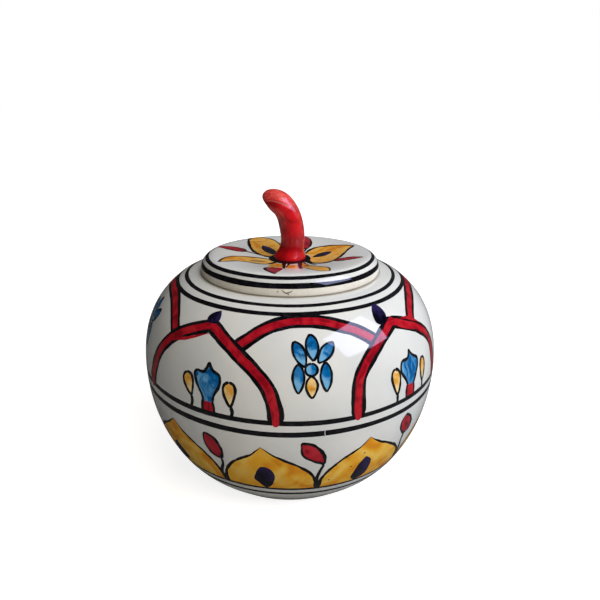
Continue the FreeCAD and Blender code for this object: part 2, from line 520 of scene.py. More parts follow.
# Shares of the way along the crease, each with its swing in degrees.
crease_winding = np.array([(0.0, 32.0), (0.25, 13.0), (0.45, 3.0), (0.75, -11.0), (1.0, -34.0)])
crease_at = crease_start + (crease_end - crease_start) * crease_winding[:, 0]
crease_swing = np.radians(np.interp(row, crease_at, crease_winding[:, 1]))
from_crease = (np.mod(swing - crease_swing + math.pi, FULL_TURN) - math.pi) * stem_radius
fade_in = np.clip((row - crease_start) / crease_fade_in, 0, 1)
fade_out = np.clip((stem_length - tip_left_smooth - row) / crease_fade_out, 0, 1)
crease_fades = fade_in * fade_out
groove = groove_depth * np.exp(-(from_crease / groove_width) ** 2) * crease_fades
lip_beside = lip_height * np.exp(-((from_crease - lip_middle) / lip_width) ** 2) * crease_fades
print("the groove is", round(groove.max(), 2), "mm deep")

# %% [markdown]
# A rolled coil is never quite round. Two waves round the stem, which also turn along it,
# make it uneven, and they die away at both ends. The foot bulges where it was pressed
# on, and tucks in at the very bottom. The skin is closed by a fan of triangles below,
# inside the lid, and by another at the tip.

# %% The stem's uneven skin
unevenness_size = 0.10
stem_slimming = 0.16
skin_inset = 0.03
settle_length = 4
bulge_size = 0.45
bulge_height = 3.6
tuck_size = 0.5
tuck_height = 1.4
thinnest = 0.05
foot_sunk = 0.6
tip_beyond = 0.05

waviness = np.sin(2 * swing + 0.35 * row) + 0.6 * np.sin(3 * swing - 0.5 * row + 1.0)
unevenness = unevenness_size * waviness - stem_slimming
bulge = bulge_size * np.exp(-(row / bulge_height) ** 2)
tuck = tuck_size * np.clip(1 - row / tuck_height, 0, 1) ** 2
foot_lip = bulge - tuck
settle = np.clip(row / settle_length, 0, 1) * np.clip((stem_length - row) / settle_length, 0, 1)
thickness = stem_thickness(row) - groove + lip_beside + foot_lip + unevenness * settle - skin_inset
thickness = np.maximum(thickness, thinnest)
stem_points = np.stack([
    centre_x + thickness * np.sin(swing) * np.cos(lean),
    -thickness * np.cos(swing),
    centre_z + thickness * np.sin(swing) * np.sin(lean),
], axis=-1)
foot_row = stem_points[:1].copy()
foot_row[..., 2] = stem_base_z - foot_sunk
stem_points = np.vstack([foot_row, stem_points])
row_count = len(stem_points)
stem_vertices = np.vstack([
    stem_points.reshape(-1, 3),
    (stem_offset_x - foot_set_left, 0, stem_base_z - foot_sunk),
    (path_x[-1] + tip_beyond, 0, path_z[-1]),
])
stem_quads = grid_faces(row_count, stem_sides, wrap_columns=True)
stem_ring = np.arange(stem_sides)
stem_fans = np.vstack([
    fan_faces(row_count * stem_sides, stem_ring[::-1]),
    fan_faces(row_count * stem_sides + 1, stem_ring + (row_count - 1) * stem_sides),
])
stem_piece = add_piece("lid_stem_handle", stem_vertices, stem_quads, stem_fans, body="lid", slot="red_glaze")
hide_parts("stem_handle")

# %% [markdown]
# The stem's colour depends on its shape and on where light falls on it. Three numbers are
# stored with every vertex for the material to read: the distance from the crease, which places
# a painted highlight and painted shade there, how far round from the crease towards its right
# the vertex lies, which places painted light on that side, and how far up the stem.

# %% What the stem's glaze will read
NO_CREASE = 9.0
crease_line = np.where(crease_fades > 0.05, from_crease, NO_CREASE)
lit_side = np.sin(swing - crease_swing)
stem_layers = {
    "crease_mm": (crease_line, NO_CREASE),
    "lit_side": (lit_side, 0.0),
    "along_mm": (row, 0.0),
}
for layer_name, (values, under_foot) in stem_layers.items():
    foot_values = np.full(stem_sides, under_foot)
    fan_values = (under_foot, values[-1].mean())
    whole = np.concatenate([foot_values, values.reshape(-1), fan_values])
    store(stem_piece, layer_name, whole)
    print(layer_name, "runs from", round(whole.min(), 2), "to", round(whole.max(), 2))

# %% [markdown]
# The paint lies under the glaze, so it has colour but hardly any height. Each stroke
# is a thin closed pad a few hundredths of a millimetre proud of the shell: a sheet on
# top, the same sheet below, and a wall round the edge. Its top keeps the pot's own
# normals, so reflections run across glaze and paint without a step. Pads stay crisp
# at any distance, where a painted picture would blur.

# %% How far each kind of paint stands above the glaze, in millimetres
FILL_LIFT = 0.015
UNDER_LIFT = 0.025
DAB_LIFT = UNDER_LIFT + 0.004
LINE_LIFT = 0.035
STALK_LIFT = LINE_LIFT + 0.004
BAND_LIFT = 0.045
ARCH_BLACK_LIFT = BAND_LIFT - 0.008
STEM_RING_LIFT = BAND_LIFT + 0.006
TOP_LIFT = 0.06
ARCH_RED_LIFT = TOP_LIFT - 0.005
RED_RUN_LIFT = TOP_LIFT - 0.012
PAD_SINK = 0.03
TIP_WIDTH = 0.06
print("the paint stands", FILL_LIFT, "to", TOP_LIFT, "mm above the glaze")

# %% [markdown]
# Each spot of a pad is there twice, above the glaze and sunk a little into it. A closed
# ring has a wall along each side, and any other pad has one wall round its edge.

# %% One pad of paint on a turned surface
def border_of(rows, columns):
    """The vertices round the edge of a grid, in order."""
    index = np.arange(rows * columns).reshape(rows, columns)
    return np.concatenate([index[0, :-1], index[:-1, -1], index[-1, :0:-1], index[:0:-1, 0]])


def pad(surface, turn, along, lift, edge, flow, load=0.0, closed=False):
    """A thin closed pad over a grid of spots: top sheet, bottom sheet, and the wall between.

    edge is each spot's distance to the paint's edge in millimetres, flow its place in the
    stroke, which the brush marks follow, and load how far the brush has run dry there. If
    the middle face of the sheet looks inwards, all faces are turned over.
    """
    rows, columns = turn.shape
    top, faces_out = surface.spot(turn, along, lift)
    bottom, _ = surface.spot(turn, along, -PAD_SINK)
    count = rows * columns
    sheet = grid_faces(rows, columns, wrap_rows=closed)
    if closed:
        index = np.arange(count).reshape(rows, columns)
        sides = ((index[:, 0], False), (index[:, -1], True))
        walls = []
        for side, turned_over in sides:
            ahead = np.roll(side, -1)
            strip = np.stack([side, ahead, ahead + count, side + count], axis=-1)
            walls.append(strip[:, ::-1] if turned_over else strip)
        wall = np.vstack(walls)
    else:
        edge_loop = border_of(rows, columns)
        ahead = np.roll(edge_loop, -1)
        wall = np.stack([ahead, edge_loop, edge_loop + count, ahead + count], axis=-1)
    points = np.vstack([top.reshape(-1, 3), bottom.reshape(-1, 3)])
    first, second, third = (top.reshape(-1, 3)[sheet[len(sheet) // 2, k]] for k in range(3))
    middle_out = faces_out.reshape(-1, 3)[sheet[len(sheet) // 2, 0]]
    if np.dot(np.cross(second - first, third - second), middle_out) < 0:
        sheet = sheet[:, ::-1]
        wall = wall[:, ::-1]
    quads = np.vstack([sheet, sheet[:, ::-1] + count, wall])
    return {
        "points": points,
        "quads": quads,
        "facing": faces_out.reshape(-1, 3),
        "top_faces": len(sheet),
        "edge": np.tile(np.broadcast_to(edge, turn.shape).reshape(-1), 2),
        "flow": np.tile(flow.reshape(-1, 2), (2, 1)),
        "load": np.tile(np.broadcast_to(load, turn.shape).reshape(-1), 2),
    }

# %% [markdown]
# A brush leaves a mark as wide as the hand presses, wavers a little, and ends round or
# in a point. A stroke is given by a few places that it goes through and its widths along
# the way. The hand's unsteadiness is a sum of sines whose phases come from one generator
# with a fixed seed, so every run paints the same jar.

# %% The hand's unsteadiness, and distances along a path
rng = np.random.default_rng(20)


def waves(distance, size, longest):
    """A hand's unsteadiness: three sines of falling length along the stroke, with random phases."""
    phase = rng.uniform(0, FULL_TURN, 3)
    value = np.zeros_like(distance)
    for part, share in enumerate((0.55, 0.3, 0.15)):
        value = value + share * np.sin(FULL_TURN * distance * (1 + 1.3 * part) / longest + phase[part])
    return size * value


def measured(surface, path):
    """The distance in millimetres from the path's start to each of its (turn, along) points."""
    middle = (path[1:, 1] + path[:-1, 1]) / 2
    across = np.diff(path[:, 0]) * surface.radius(middle)
    return np.concatenate([[0], np.cumsum(np.hypot(across, np.diff(path[:, 1])))])

# %% [markdown]
# A brush that is set down or lifted straight leaves a round end, and one that glides
# leaves a pointed end. Both are a share of the width that grows from nothing at the end.

# %% The ends of a stroke
POINTED_SHARE = 0.35
POINTED_POWER = 0.7
LEAST_SHARE = 0.03


def brush_end(distance, widest, length, style):
    """The share of its width that a stroke keeps at a distance from one of its ends.

    At a round end it follows a quarter circle over half the stroke's width. At a pointed
    one it grows as the 0.7th power of the distance, over a third of the stroke's length.
    """
    if style == "round":
        share = np.clip(distance / widest, 0, 1)
        shape = np.sqrt(1 - (1 - share) ** 2)
    else:
        share = np.clip(distance / (POINTED_SHARE * length), 0, 1)
        shape = share ** POINTED_POWER
    return np.maximum(shape, LEAST_SHARE)

# %% [markdown]
# A stroke is worked out in four steps: places at even distances along the path, the way
# ahead at each, the half width there, and a grid of spots across it. Rows come closer
# together towards a round end, where the outline turns.

# %% A brush stroke
PATH_SPOTS = 400
END_ROWS = 6


def stroke(surface, points, width, lift, closed=False, cells=2, step=0.9, start="round", end="round",
           wander=0.12, unsteady=0.10):
    """A brush stroke through a few (degrees, millimetres) points.

    The centre line is a smooth curve. Each spot of the pad lies sideways from it by the
    drift plus the half width times a share from -1 to 1. The half width is read off the
    given widths and swells and shrinks by the share unsteady. A closed ring has to meet
    itself, so there the drift and the swelling are whole waves round the pot instead.
    """
    path = np.asarray(points, float) * (math.pi / 180, 1)
    scale = np.array([surface.radius(path[:, 1].mean()), 1])
    fine = path if closed else smooth_curve(path * scale, PATH_SPOTS) / scale
    distance = measured(surface, fine)
    length = distance[-1]
    width = np.atleast_1d(np.asarray(width, float))
    widest = width.max() / 2
    if closed:
        at = np.linspace(0, length, round(length / step) + 1)[:-1]
    else:
        near_end = widest * (1 - np.cos(np.linspace(0, math.pi / 2, END_ROWS)))
        between = np.linspace(widest, length - widest, max(3, round((length - 2 * widest) / step) + 1))
        at = np.concatenate([near_end[:-1], between, length - near_end[-2::-1]])
    turn = np.interp(at, distance, fine[:, 0])
    along = np.interp(at, distance, fine[:, 1])
    radius = surface.radius(along)
    ahead = np.stack([np.gradient(turn, at) * radius, np.gradient(along, at)], axis=1)
    if closed:
        ahead = np.tile((1.0, 0.0), (len(at), 1))
    ahead = ahead / np.linalg.norm(ahead, axis=1)[:, None]
    half = np.interp(at / length, np.linspace(0, 1, len(width)), width) / 2
    drift = waves(at, wander, max(14.0, 0.45 * length))
    if closed:
        half = half * (1 + unsteady * np.sin(3 * turn + 2.1 * lift) * np.cos(5 * turn))
        drift = wander * (np.sin(2 * turn + rng.uniform(0, 6)) + 0.6 * np.sin(7 * turn + rng.uniform(0, 6)))
    else:
        half = half * (1 + waves(at, unsteady, max(9.0, 0.3 * length)))
        half = half * brush_end(at, widest, length, start)
        half = half * brush_end(length - at, widest, length, end)
    across = np.linspace(-1, 1, cells + 1)
    side = drift[:, None] + half[:, None] * across
    grid_turn = turn[:, None] - ahead[:, 1][:, None] * side / radius[:, None]
    grid_along = along[:, None] + ahead[:, 0][:, None] * side
    edge = half[:, None] * (1 - np.abs(across))
    seed = rng.uniform(0, 40)
    flow = np.stack([seed + at[:, None] / 10 + 0 * across, np.broadcast_to(across, edge.shape)], axis=-1)
    return pad(surface, grid_turn, grid_along, lift, edge, flow, closed=closed)

# %% [markdown]
# Most strokes lie on the pot's wall. A ring is the same stroke, closed upon itself.

# %% Strokes on the wall and rings round it
def jar_stroke(points, width, lift, **facts):
    """A brush stroke on the pot's wall."""
    return stroke(jar_paint_wall, points, width, lift, **facts)


def ring_line(surface, along, width, lift, **facts):
    """A line drawn on the turning wheel: a closed stroke at one distance along the outline."""
    turns = np.linspace(0, 360, 721)
    line = np.stack([turns, np.full(len(turns), float(along))], axis=1)
    return stroke(surface, line, width, lift, closed=True, step=1.1, **facts)

# %% [markdown]
# Petals, leaves and buds are filled shapes. Each is given by its two edges, and rows of
# paint run straight from one to the other. A brush that is lifted on its way runs dry,
# and how far it has done so is stored with the paint, so that the pigment can fade there.

# %% A filled shape
def filled(surface, left, right, lift, cells=8, rows=26, dries=(0.0, 0.0)):
    """Paint between two edges: straight rows from the left edge to the right one, at like shares.

    Where the edges meet in a tip, its row keeps a hair's width, so that no face is without
    area. dries says how far the brush runs dry along the edges and across them: the load
    is 0.5 plus each number times the share from -0.5 to 0.5 that way.
    """
    scale = np.array([surface.radius(np.mean([p[1] for p in left])), 1])
    edges = []
    for side in (left, right):
        path = np.asarray(side, float) * (math.pi / 180, 1)
        edges.append(smooth_curve(path * scale, rows) / scale)
    for end, beside in ((0, 1), (-1, -2)):
        gap = np.linalg.norm((edges[1][end] - edges[0][end]) * scale)
        reach = (edges[1][beside] - edges[0][beside]) * scale
        if gap < TIP_WIDTH:
            edges[1][end] = edges[0][end] + TIP_WIDTH * reach / np.linalg.norm(reach) / scale
    share = np.linspace(0, 1, cells + 1)[None, :, None]
    spots = edges[0][:, None, :] * (1 - share) + edges[1][:, None, :] * share
    across = np.linalg.norm((edges[1] - edges[0]) * scale, axis=1)[:, None]
    nearest = np.minimum(share[..., 0], 1 - share[..., 0]) * across
    flow = np.stack([
        rng.uniform(0, 40) + spots[..., 1] / 10,
        2 * share[..., 0] - 1 + 0 * spots[..., 1],
    ], axis=-1)
    row_share = np.linspace(-0.5, 0.5, rows)[:, None]
    load = 0.5 + dries[0] * row_share + dries[1] * (share[..., 0] - 0.5) if any(dries) else 0.0
    return pad(surface, spots[..., 0], spots[..., 1], lift, nearest, flow, load)


def jar_fill(left, right, lift, **facts):
    """A filled shape on the pot's wall."""
    return filled(jar_paint_wall, left, right, lift, **facts)

# %% [markdown]
# All the strokes of one colour become one piece, which keeps a few pieces in place of
# hundreds. Two numbers go with each point, the distance to the paint's edge and the dryness
# of the brush, and a UV map holds the brush's direction. The tops are shaded smooth and
# keep the pot's normals, and the thin walls round them stay flat.

# %% All the pads of one colour become one piece
def painted_piece(name, pads, body, slot):
    """Joins pads into one mesh, with their edge distances, brush directions and the pot's normals."""
    points = np.vstack([p["points"] for p in pads])
    starts = np.concatenate([[0], np.cumsum([len(p["points"]) for p in pads])])
    quads = np.vstack([p["quads"] + first for p, first in zip(pads, starts)])
    piece = add_piece(name, points, quads, body=body, slot=slot)
    mesh = piece.data
    store(piece, "edge_mm", np.concatenate([p["edge"] for p in pads]))
    store(piece, "brush_dry", np.concatenate([p["load"] for p in pads]))
    flow = np.vstack([p["flow"] for p in pads])
    layer = mesh.uv_layers.new(name="flow")
    layer.data.foreach_set("uv", flow[quads.reshape(-1)].astype(np.float32).reshape(-1))
    facing = np.vstack([np.vstack([p["facing"], p["facing"]]) for p in pads])
    on_top = np.concatenate([np.arange(len(p["quads"])) < p["top_faces"] for p in pads])
    mesh.polygons.foreach_set("use_smooth", on_top)
    corners = facing[quads.reshape(-1)] * np.repeat(on_top, 4)[:, None]
    mesh.normals_split_custom_set(corners.tolist())
    return piece

# %% [markdown]
# The wheel turns under a loaded brush and leaves a ring. Six of them divide the jar
# into bands: two at the foot, two round the belly and two at the shoulder. They are
# measured as distances up the wall from its lower edge.

# %% The rings that divide the bands
# Each ring's distance up the wall and its width.
jar_rings = ((18.0, 1.9), (22.4, 1.5), (53.3, 2.15), (57.9, 1.95), (97.8, 1.75), (102.0, 1.65))
ring_pads = [ring_line(jar_paint_wall, up, width, LINE_LIFT) for up, width in jar_rings]
print(len(ring_pads), "rings on the jar")

# %% [markdown]
# Four pointed arches stand in front and four round ones look out from behind. Each is
# a black band with a narrower red one over it, so that black is left along both edges,
# as when a painter lines in a coloured band. The sides of an arch are given as shares
# of its half width and of its height, and no two arches are quite alike.

# %% The pointed arches
arch_foot = 57.4
straight_side_shares = (
    (1.0, 0.0), (0.99, 0.17), (0.95, 0.31), (0.885, 0.43), (0.77, 0.55), (0.64, 0.65),
    (0.5, 0.74), (0.33, 0.84), (0.12, 0.95), (-0.06, 1.035),
)
round_side_shares = (
    (1.0, 0.0), (0.95, 0.15), (0.90, 0.28), (0.84, 0.43), (0.73, 0.59), (0.61, 0.71),
    (0.45, 0.82), (0.28, 0.90), (0.09, 0.965), (-0.05, 0.995),
)
upright_side_shares = (
    (1.0, 0.0), (1.0, 0.21), (0.995, 0.335), (0.955, 0.485), (0.866, 0.59), (0.713, 0.70),
    (0.495, 0.824), (0.324, 0.904), (0.148, 0.97), (-0.07, 1.035),
)
shouldered_side_shares = (
    (1.0, 0.0), (0.975, 0.2), (0.94, 0.37), (0.922, 0.484), (0.837, 0.609), (0.694, 0.724),
    (0.49, 0.833), (0.265, 0.92), (-0.08, 1.02),
)
arch_black_width = 5.4
arch_red_width = 2.8
arch_foot_width = 6.5
red_past_foot = 1.1


def arch_side(centre, top, reach, shares):
    """The (degrees, millimetres) points of one side, from its foot to the top."""
    shares = np.asarray(shares)
    return np.stack([centre + reach * shares[:, 0], arch_foot + (top - arch_foot) * shares[:, 1]], axis=1)


# An arch's middle in degrees and its top in millimetres, then the reach in degrees and
# the shares of its left side, and those of its right side.
pointed_arches = (
    (-32.3, 90.3, -28.5, round_side_shares, 27.7, straight_side_shares),
    (44.7, 88.6, -21.6, upright_side_shares, 24.5, shouldered_side_shares),
    (136.0, 90.0, -29.0, round_side_shares, 27.0, upright_side_shares),
    (-125.5, 89.6, -27.0, straight_side_shares, 28.5, round_side_shares),
)
black_widths = (arch_foot_width, 6.0, 5.5) + (arch_black_width,) * 5
red_widths = (2.4, 3.0, 3.1, 3.0) + (arch_red_width,) * 6
arch_black = []
arch_red = []
for centre, top, left_reach, left_shares, right_reach, right_shares in pointed_arches:
    for reach, shares in ((left_reach, left_shares), (right_reach, right_shares)):
        side = arch_side(centre, top, reach, shares)
        arch_black.append(jar_stroke(side, black_widths, ARCH_BLACK_LIFT, cells=6, unsteady=0.045))
        red_side = side.copy()
        red_side[0, 1] -= red_past_foot
        arch_red.append(jar_stroke(red_side, red_widths, ARCH_RED_LIFT, cells=4, wander=0.22, unsteady=0.07))
print(len(arch_black), "sides of pointed arches")

# %% [markdown]
# A hand slips now and then. In three places on the front arches the red ran past its
# black border, and each of these runs is a stroke that tapers to nothing at both ends.

# %% Where the red ran past the black line
red_runs = (
    (((-53.5, 77.6), (-47.0, 81.0), (-41.0, 83.2), (-35.5, 85.6), (-31.0, 87.2)), (0.5, 1.0, 1.3, 1.1, 0.7)),
    (((46.0, 86.4), (50.0, 85.0), (56.0, 82.0)), (1.5, 1.2, 0.8)),
    (((50.0, 88.6), (56.0, 86.8), (62.0, 83.0)), (1.0, 1.6, 1.0)),
)
for line, widths in red_runs:
    arch_red.append(jar_stroke(line, widths, RED_RUN_LIFT, cells=4, start="point", end="point"))
print(len(red_runs), "places where the red ran over")

# %% [markdown]
# The round arches stand behind, so their black and red lie lower than the bands of the
# pointed arches, which cover them where the two cross. Each is one line from left to
# right, in degrees from the arch's middle and millimetres up the wall.

# %% The round arches behind them
round_arch_places = (
    (7.5, ((-28.0, 82.9), (-26.4, 84.4), (-21.3, 88.8), (-14.0, 93.2), (-8.0, 94.7), (0.0, 94.9),
           (7.0, 93.8), (15.0, 91.0), (21.0, 87.8), (25.0, 84.5), (26.6, 83.2))),
    (92.0, ((-38.2, 83.2), (-31.5, 89.3), (-24.0, 92.4), (-14.0, 94.6), (-4.0, 95.2), (6.0, 94.6),
            (15.0, 91.8), (23.0, 87.8), (29.0, 83.6))),
    (184.5, ((-34.2, 83.6), (-28.0, 88.4), (-19.0, 92.6), (-9.0, 94.6), (2.0, 94.9), (14.0, 94.2),
             (25.0, 91.2), (34.0, 87.2), (39.9, 83.6))),
    (-82.5, ((-28.4, 83.4), (-20.0, 88.3), (-13.0, 92.6), (-6.0, 95.0), (2.0, 95.8), (12.0, 95.2),
             (20.0, 93.3), (27.0, 89.6), (34.6, 82.4))),
)
round_arches = [[(centre + across, up) for across, up in places] for centre, places in round_arch_places]
for line in round_arches:
    arch_black.append(jar_stroke(line, arch_black_width, FILL_LIFT, cells=6, unsteady=0.045))
    arch_red.append(jar_stroke(line, arch_red_width, UNDER_LIFT, cells=4, wander=0.2, unsteady=0.05))
print(len(arch_black), "black strokes and", len(arch_red), "red ones in the arches")

# %% [markdown]
# Motifs are drawn once, in millimetres about their own middle, and set down at a place
# on the wall. A small change of size, a lean and a shift at each place keep the row of
# them from looking printed.

# %% A motif's own millimetres become places on the wall
def at_place(centre, shape, size=1.0, lean=0.0):
    """Turns (right, up) millimetres about a centre into (degrees, along) on the pot's wall.

    The shape is scaled and turned by its lean. A length to the right becomes an angle when
    it is divided by the wall's radius at that height.
    """
    shape = np.asarray(shape, float) * size
    lean = math.radians(lean)
    right = shape[:, 0] * math.cos(lean) + shape[:, 1] * math.sin(lean)
    up = shape[:, 1] * math.cos(lean) - shape[:, 0] * math.sin(lean)
    along = centre[1] + up
    return np.stack([centre[0] + np.degrees(right / jar_paint_wall.radius(along)), along], axis=1)


def leaf_edges(start, end, width, belly=0.5):
    """The two edges of a leaf from start to end: half the width times a sine ** 0.7, widest at belly."""
    start = np.asarray(start, float)
    end = np.asarray(end, float)
    along = end - start
    side = np.array([-along[1], along[0]]) / np.linalg.norm(along)
    share = np.linspace(0, 1, 9)
    spread = np.sin(math.pi * share ** (math.log(0.5) / math.log(belly))) ** 0.7
    middle = start + share[:, None] * along
    offset = (width / 2 * spread)[:, None] * side
    return middle + offset, middle - offset


def bud_edges(foot, top, width):
    """The two edges of an egg-shaped bud: pointed at its foot, round at its top.

    Half the width times share ** 0.75 * sqrt(1 - share ** 3), over that product's peak.
    """
    foot = np.asarray(foot, float)
    along = np.asarray(top, float) - foot
    side = np.array([-along[1], along[0]]) / np.linalg.norm(along)
    share = 1 - (1 - np.linspace(0, 1, 12)) ** 1.6
    spread = share ** 0.75 * np.sqrt(1 - share ** 3) / 0.62
    offset = (width / 2 * spread)[:, None] * side
    middle = foot + share[:, None] * along
    return middle + offset, middle - offset


def disc_edges(centre, radius):
    """The left and right halves of a circle, from its foot to its top."""
    swing = np.linspace(0, math.pi, 9)
    half = np.stack([np.sin(swing), -np.cos(swing)], axis=1) * radius
    return np.asarray(centre) + half * (-1, 1), np.asarray(centre) + half

# %% [markdown]
# Under each pointed arch grows a blue tulip on a short red stem, with a yellow bud on a
# stalk at either side. The colour went on first and the black line after it, a little
# beside the colour's edge in places. Two tulips are drawn here, one leaning each way.

# %% Tulips with a bud on either side
tulip_drawings = (
    (((-2.4, -6.2), (-2.7, -4.4), (-4.6, -1.5), (-6.1, 1.6), (-6.5, 3.4), (-5.7, 4.6), (-3.4, 4.5),
      (-0.7, 8.5)),
     ((1.7, -6.2), (2.3, -3.1), (3.8, -0.4), (4.6, 2.4), (4.0, 4.5), (1.7, 5.5), (-0.7, 8.5)),
     (((-7.9, -5.6), (-10.4, 2.7), 4.7, (-7.5, -7.8), (-9.0, -11.6)),
      ((8.9, -6.5), (8.0, 2.6), 4.8, (9.5, -7.6), (8.2, -11.6)))),
    (((-2.0, -6.2), (-3.7, -2.8), (-5.3, -0.2), (-5.5, 1.9), (-4.5, 3.8), (-1.3, 4.1), (0.7, 7.2)),
     ((2.0, -6.6), (3.2, -4.4), (4.3, -2.4), (5.5, 0.3), (5.4, 2.2), (2.5, 4.4), (0.7, 7.2)),
     (((-8.2, -8.2), (-8.7, 2.1), 4.5, (-8.0, -9.6), (-8.3, -12.4)),
      ((9.0, -8.6), (9.5, 1.2), 4.0, (9.1, -10.2), (8.8, -12.6)))),
)
tulip_stem_edges = (
    ((-2.4, -5.9), (-2.8, -8.0), (-2.5, -11.8)),
    ((1.8, -5.9), (2.2, -7.8), (2.2, -11.8)),
)
tulip_places = (
    (-28.0, 68.7, 1.0, 0.0, 1.0, 0),
    (47.2, 69.6, 1.0, 0.0, 1.0, 1),
    (138.0, 69.0, 0.98, 1.0, -1.0, 0),
    (-126.0, 68.9, 1.02, -3.0, 1.0, 1),
)
blue_pads = []
black_pads = []
yellow_pads = []
red_pads = []


def outlined_fill(centre, edges, fill_list, size=1.0, lean=0.0, cells=6, dries=(0.0, 0.0),
                  line_width=1.1):
    """Paint between two edges and a black line down each."""
    edges = [at_place(centre, edge, size, lean) for edge in edges]
    fill_list.append(jar_fill(*edges, UNDER_LIFT, cells=cells, dries=dries))
    for side in edges:
        black_pads.append(jar_stroke(side, line_width, LINE_LIFT, step=0.5, wander=0.08, unsteady=0.24))


for turn, up, size, lean, mirror, drawing in tulip_places:
    spot = (turn, up)
    flip = np.array([mirror, 1.0])
    tulip_left, tulip_right, buds = tulip_drawings[drawing]
    outlined_fill(spot, (tulip_left * flip, tulip_right * flip), blue_pads, size, lean, cells=10,
                  dries=(0.1, -0.16 * mirror))
    outlined_fill(spot, tulip_stem_edges, red_pads, size, lean, cells=4)
    for bud_foot, bud_top, bud_width, stalk_middle, stalk_end in buds:
        bud = np.array(bud_edges(bud_foot, bud_top, bud_width)) * flip
        outlined_fill(spot, bud, yellow_pads, size, lean, cells=8, dries=(-1.1, 0.2))
        stalk = at_place(spot, np.array([bud_foot, stalk_middle, stalk_end]) * flip, size, lean)
        black_pads.append(jar_stroke(stalk, (1.5, 1.3, 1.0), LINE_LIFT, step=0.5))
print(len(tulip_places), "tulips and", len(yellow_pads), "yellow buds")

# %% [markdown]
# A flower has six petals round a dot: five blue ones, each a stroke that began with a
# full brush and ended pale, and a yellow one below.

# %% Blue flowers under the round arches
flower_line_width = 0.85
flower_petals = (
    ((-2.5, 0.7), (-5.8, 9.9), 4.1, -1.5),
    ((0.6, 2.7), (0.1, 12.3), 4.4, -0.9),
    ((2.2, 1.9), (8.0, 8.9), 4.2, -1.2),
    ((-5.1, -8.5), (-4.9, 2.0), 4.1, -1.7),
    ((4.9, -8.3), (4.7, 2.1), 4.1, -1.6),
)
flower_places = (
    (7.5, 77.6, 1.0, 0.0),
    (97.0, 77.8, 0.97, 4.0),
    (-173.0, 77.2, 1.02, -3.0),
    (-76.0, 77.6, 1.0, 2.0),
)
for turn, up, size, lean in flower_places:
    spot = (turn, up)
    facts = {"size": size, "lean": lean, "line_width": flower_line_width}
    for start, end, width, dries in flower_petals:
        petal = leaf_edges(start, end, width, belly=0.54)
        outlined_fill(spot, petal, blue_pads, cells=8, dries=(dries, -0.3), **facts)
    petal = leaf_edges((-0.4, -10.4), (-0.4, -2.4), 4.1, belly=0.55)
    outlined_fill(spot, petal, yellow_pads, dries=(-0.7, 0.3), **facts)
    outlined_fill(spot, disc_edges((-0.3, -0.2), 2.15), blue_pads, dries=(0.2, -1.0), **facts)
print(len(blue_pads), "blue shapes and", len(black_pads), "black lines so far")

# %% [markdown]
# A dark bud sits on the tip of each pointed arch. It is a fat dab of the brush with no
# outline, so it is drawn by its two edges alone.

# %% Dark buds on the points of the arches
dark_buds = (
    (-32.3, ((-1.1, 90.8), (-3.2, 91.8), (-3.3, 93.4), (-1.4, 95.4), (1.3, 96.6)),
     ((-1.1, 90.8), (0.8, 91.0), (2.4, 92.2), (2.5, 94.3), (1.3, 96.6))),
    (44.7, ((-4.9, 88.8), (-8.0, 90.0), (-8.2, 92.4), (-7.1, 95.2), (-5.0, 97.6)),
     ((-4.9, 88.8), (-2.2, 90.2), (-1.1, 92.4), (-1.4, 95.0), (-3.1, 97.5))),
    (136.0, ((0.2, 89.8), (-2.4, 91.2), (-1.9, 93.9), (0.2, 95.7), (2.6, 97.2)),
     ((0.2, 89.8), (2.8, 90.8), (4.4, 93.0), (4.0, 95.2), (2.6, 97.2))),
    (-125.5, ((0.4, 89.6), (-3.4, 90.6), (-5.0, 93.0), (-4.4, 95.6), (-2.8, 97.4)),
     ((0.4, 89.6), (2.0, 91.0), (1.4, 93.6), (-0.6, 95.8), (-2.8, 97.4))),
)
bud_pads = []
for centre, left_edge, right_edge in dark_buds:
    left = [(centre + across, up) for across, up in left_edge]
    right = [(centre + across, up) for across, up in right_edge]
    bud_pads.append(jar_fill(left, right, TOP_LIFT, cells=8, dries=(0.9, 0.4)))
print(len(bud_pads), "dark buds")

# %% [markdown]
# Below the belly, nine ochre petals with pointed tops stand side by side, each with a
# dark seed, and a red leaf on a black stalk grows between each two.

# %% The ochre petals
petal_side_shares = (
    (1.0, 0.0), (0.985, 0.2), (0.90, 0.39), (0.72, 0.57), (0.44, 0.735), (0.22, 0.84), (0.0, 1.0),
)
petal_base = 22.9
petal_gap_half = 0.6
petal_tips = ((-10.0, 47.0), (29.2, 47.2), (70.0, 46.0), (110.0, 47.4), (151.0, 46.4), (-169.0, 47.2),
              (-129.5, 46.3), (-88.5, 47.0), (-47.0, 48.6))
petal_gaps = (-26.6, 10.9, 49.8, 90.2, 130.6, 171.0, -149.5, -109.0, -67.5)
petal_line_widths = (1.6, 1.35, 1.1, 1.2, 1.5)
ochre_pads = []
petal_lines = []
seed_pads = []
for number, (tip_turn, tip_up) in enumerate(petal_tips):
    gap_left = petal_gaps[number]
    gap_right = petal_gaps[(number + 1) % len(petal_gaps)]
    reach_left = (tip_turn - gap_left) % 360
    reach_right = (gap_right - tip_turn) % 360
    shares = np.array(petal_side_shares)
    height = petal_base + (tip_up - petal_base) * shares[:, 1]
    left = np.stack([tip_turn - (reach_left - petal_gap_half) * shares[:, 0], height], axis=1)
    right = np.stack([tip_turn + (reach_right - petal_gap_half) * shares[:, 0], height], axis=1)
    ochre_pads.append(jar_fill(left, right, FILL_LIFT, cells=24, rows=24))
    for side in (left, right):
        petal_lines.append(jar_stroke(side, petal_line_widths, LINE_LIFT, step=0.7, wander=0.15,
                                      unsteady=0.25, end="point"))
print(len(ochre_pads), "ochre petals")

# %% [markdown]
# The seeds are dabs too: a broad one with corners, a leaning one and a wide low one,
# taken in turn round the pot.

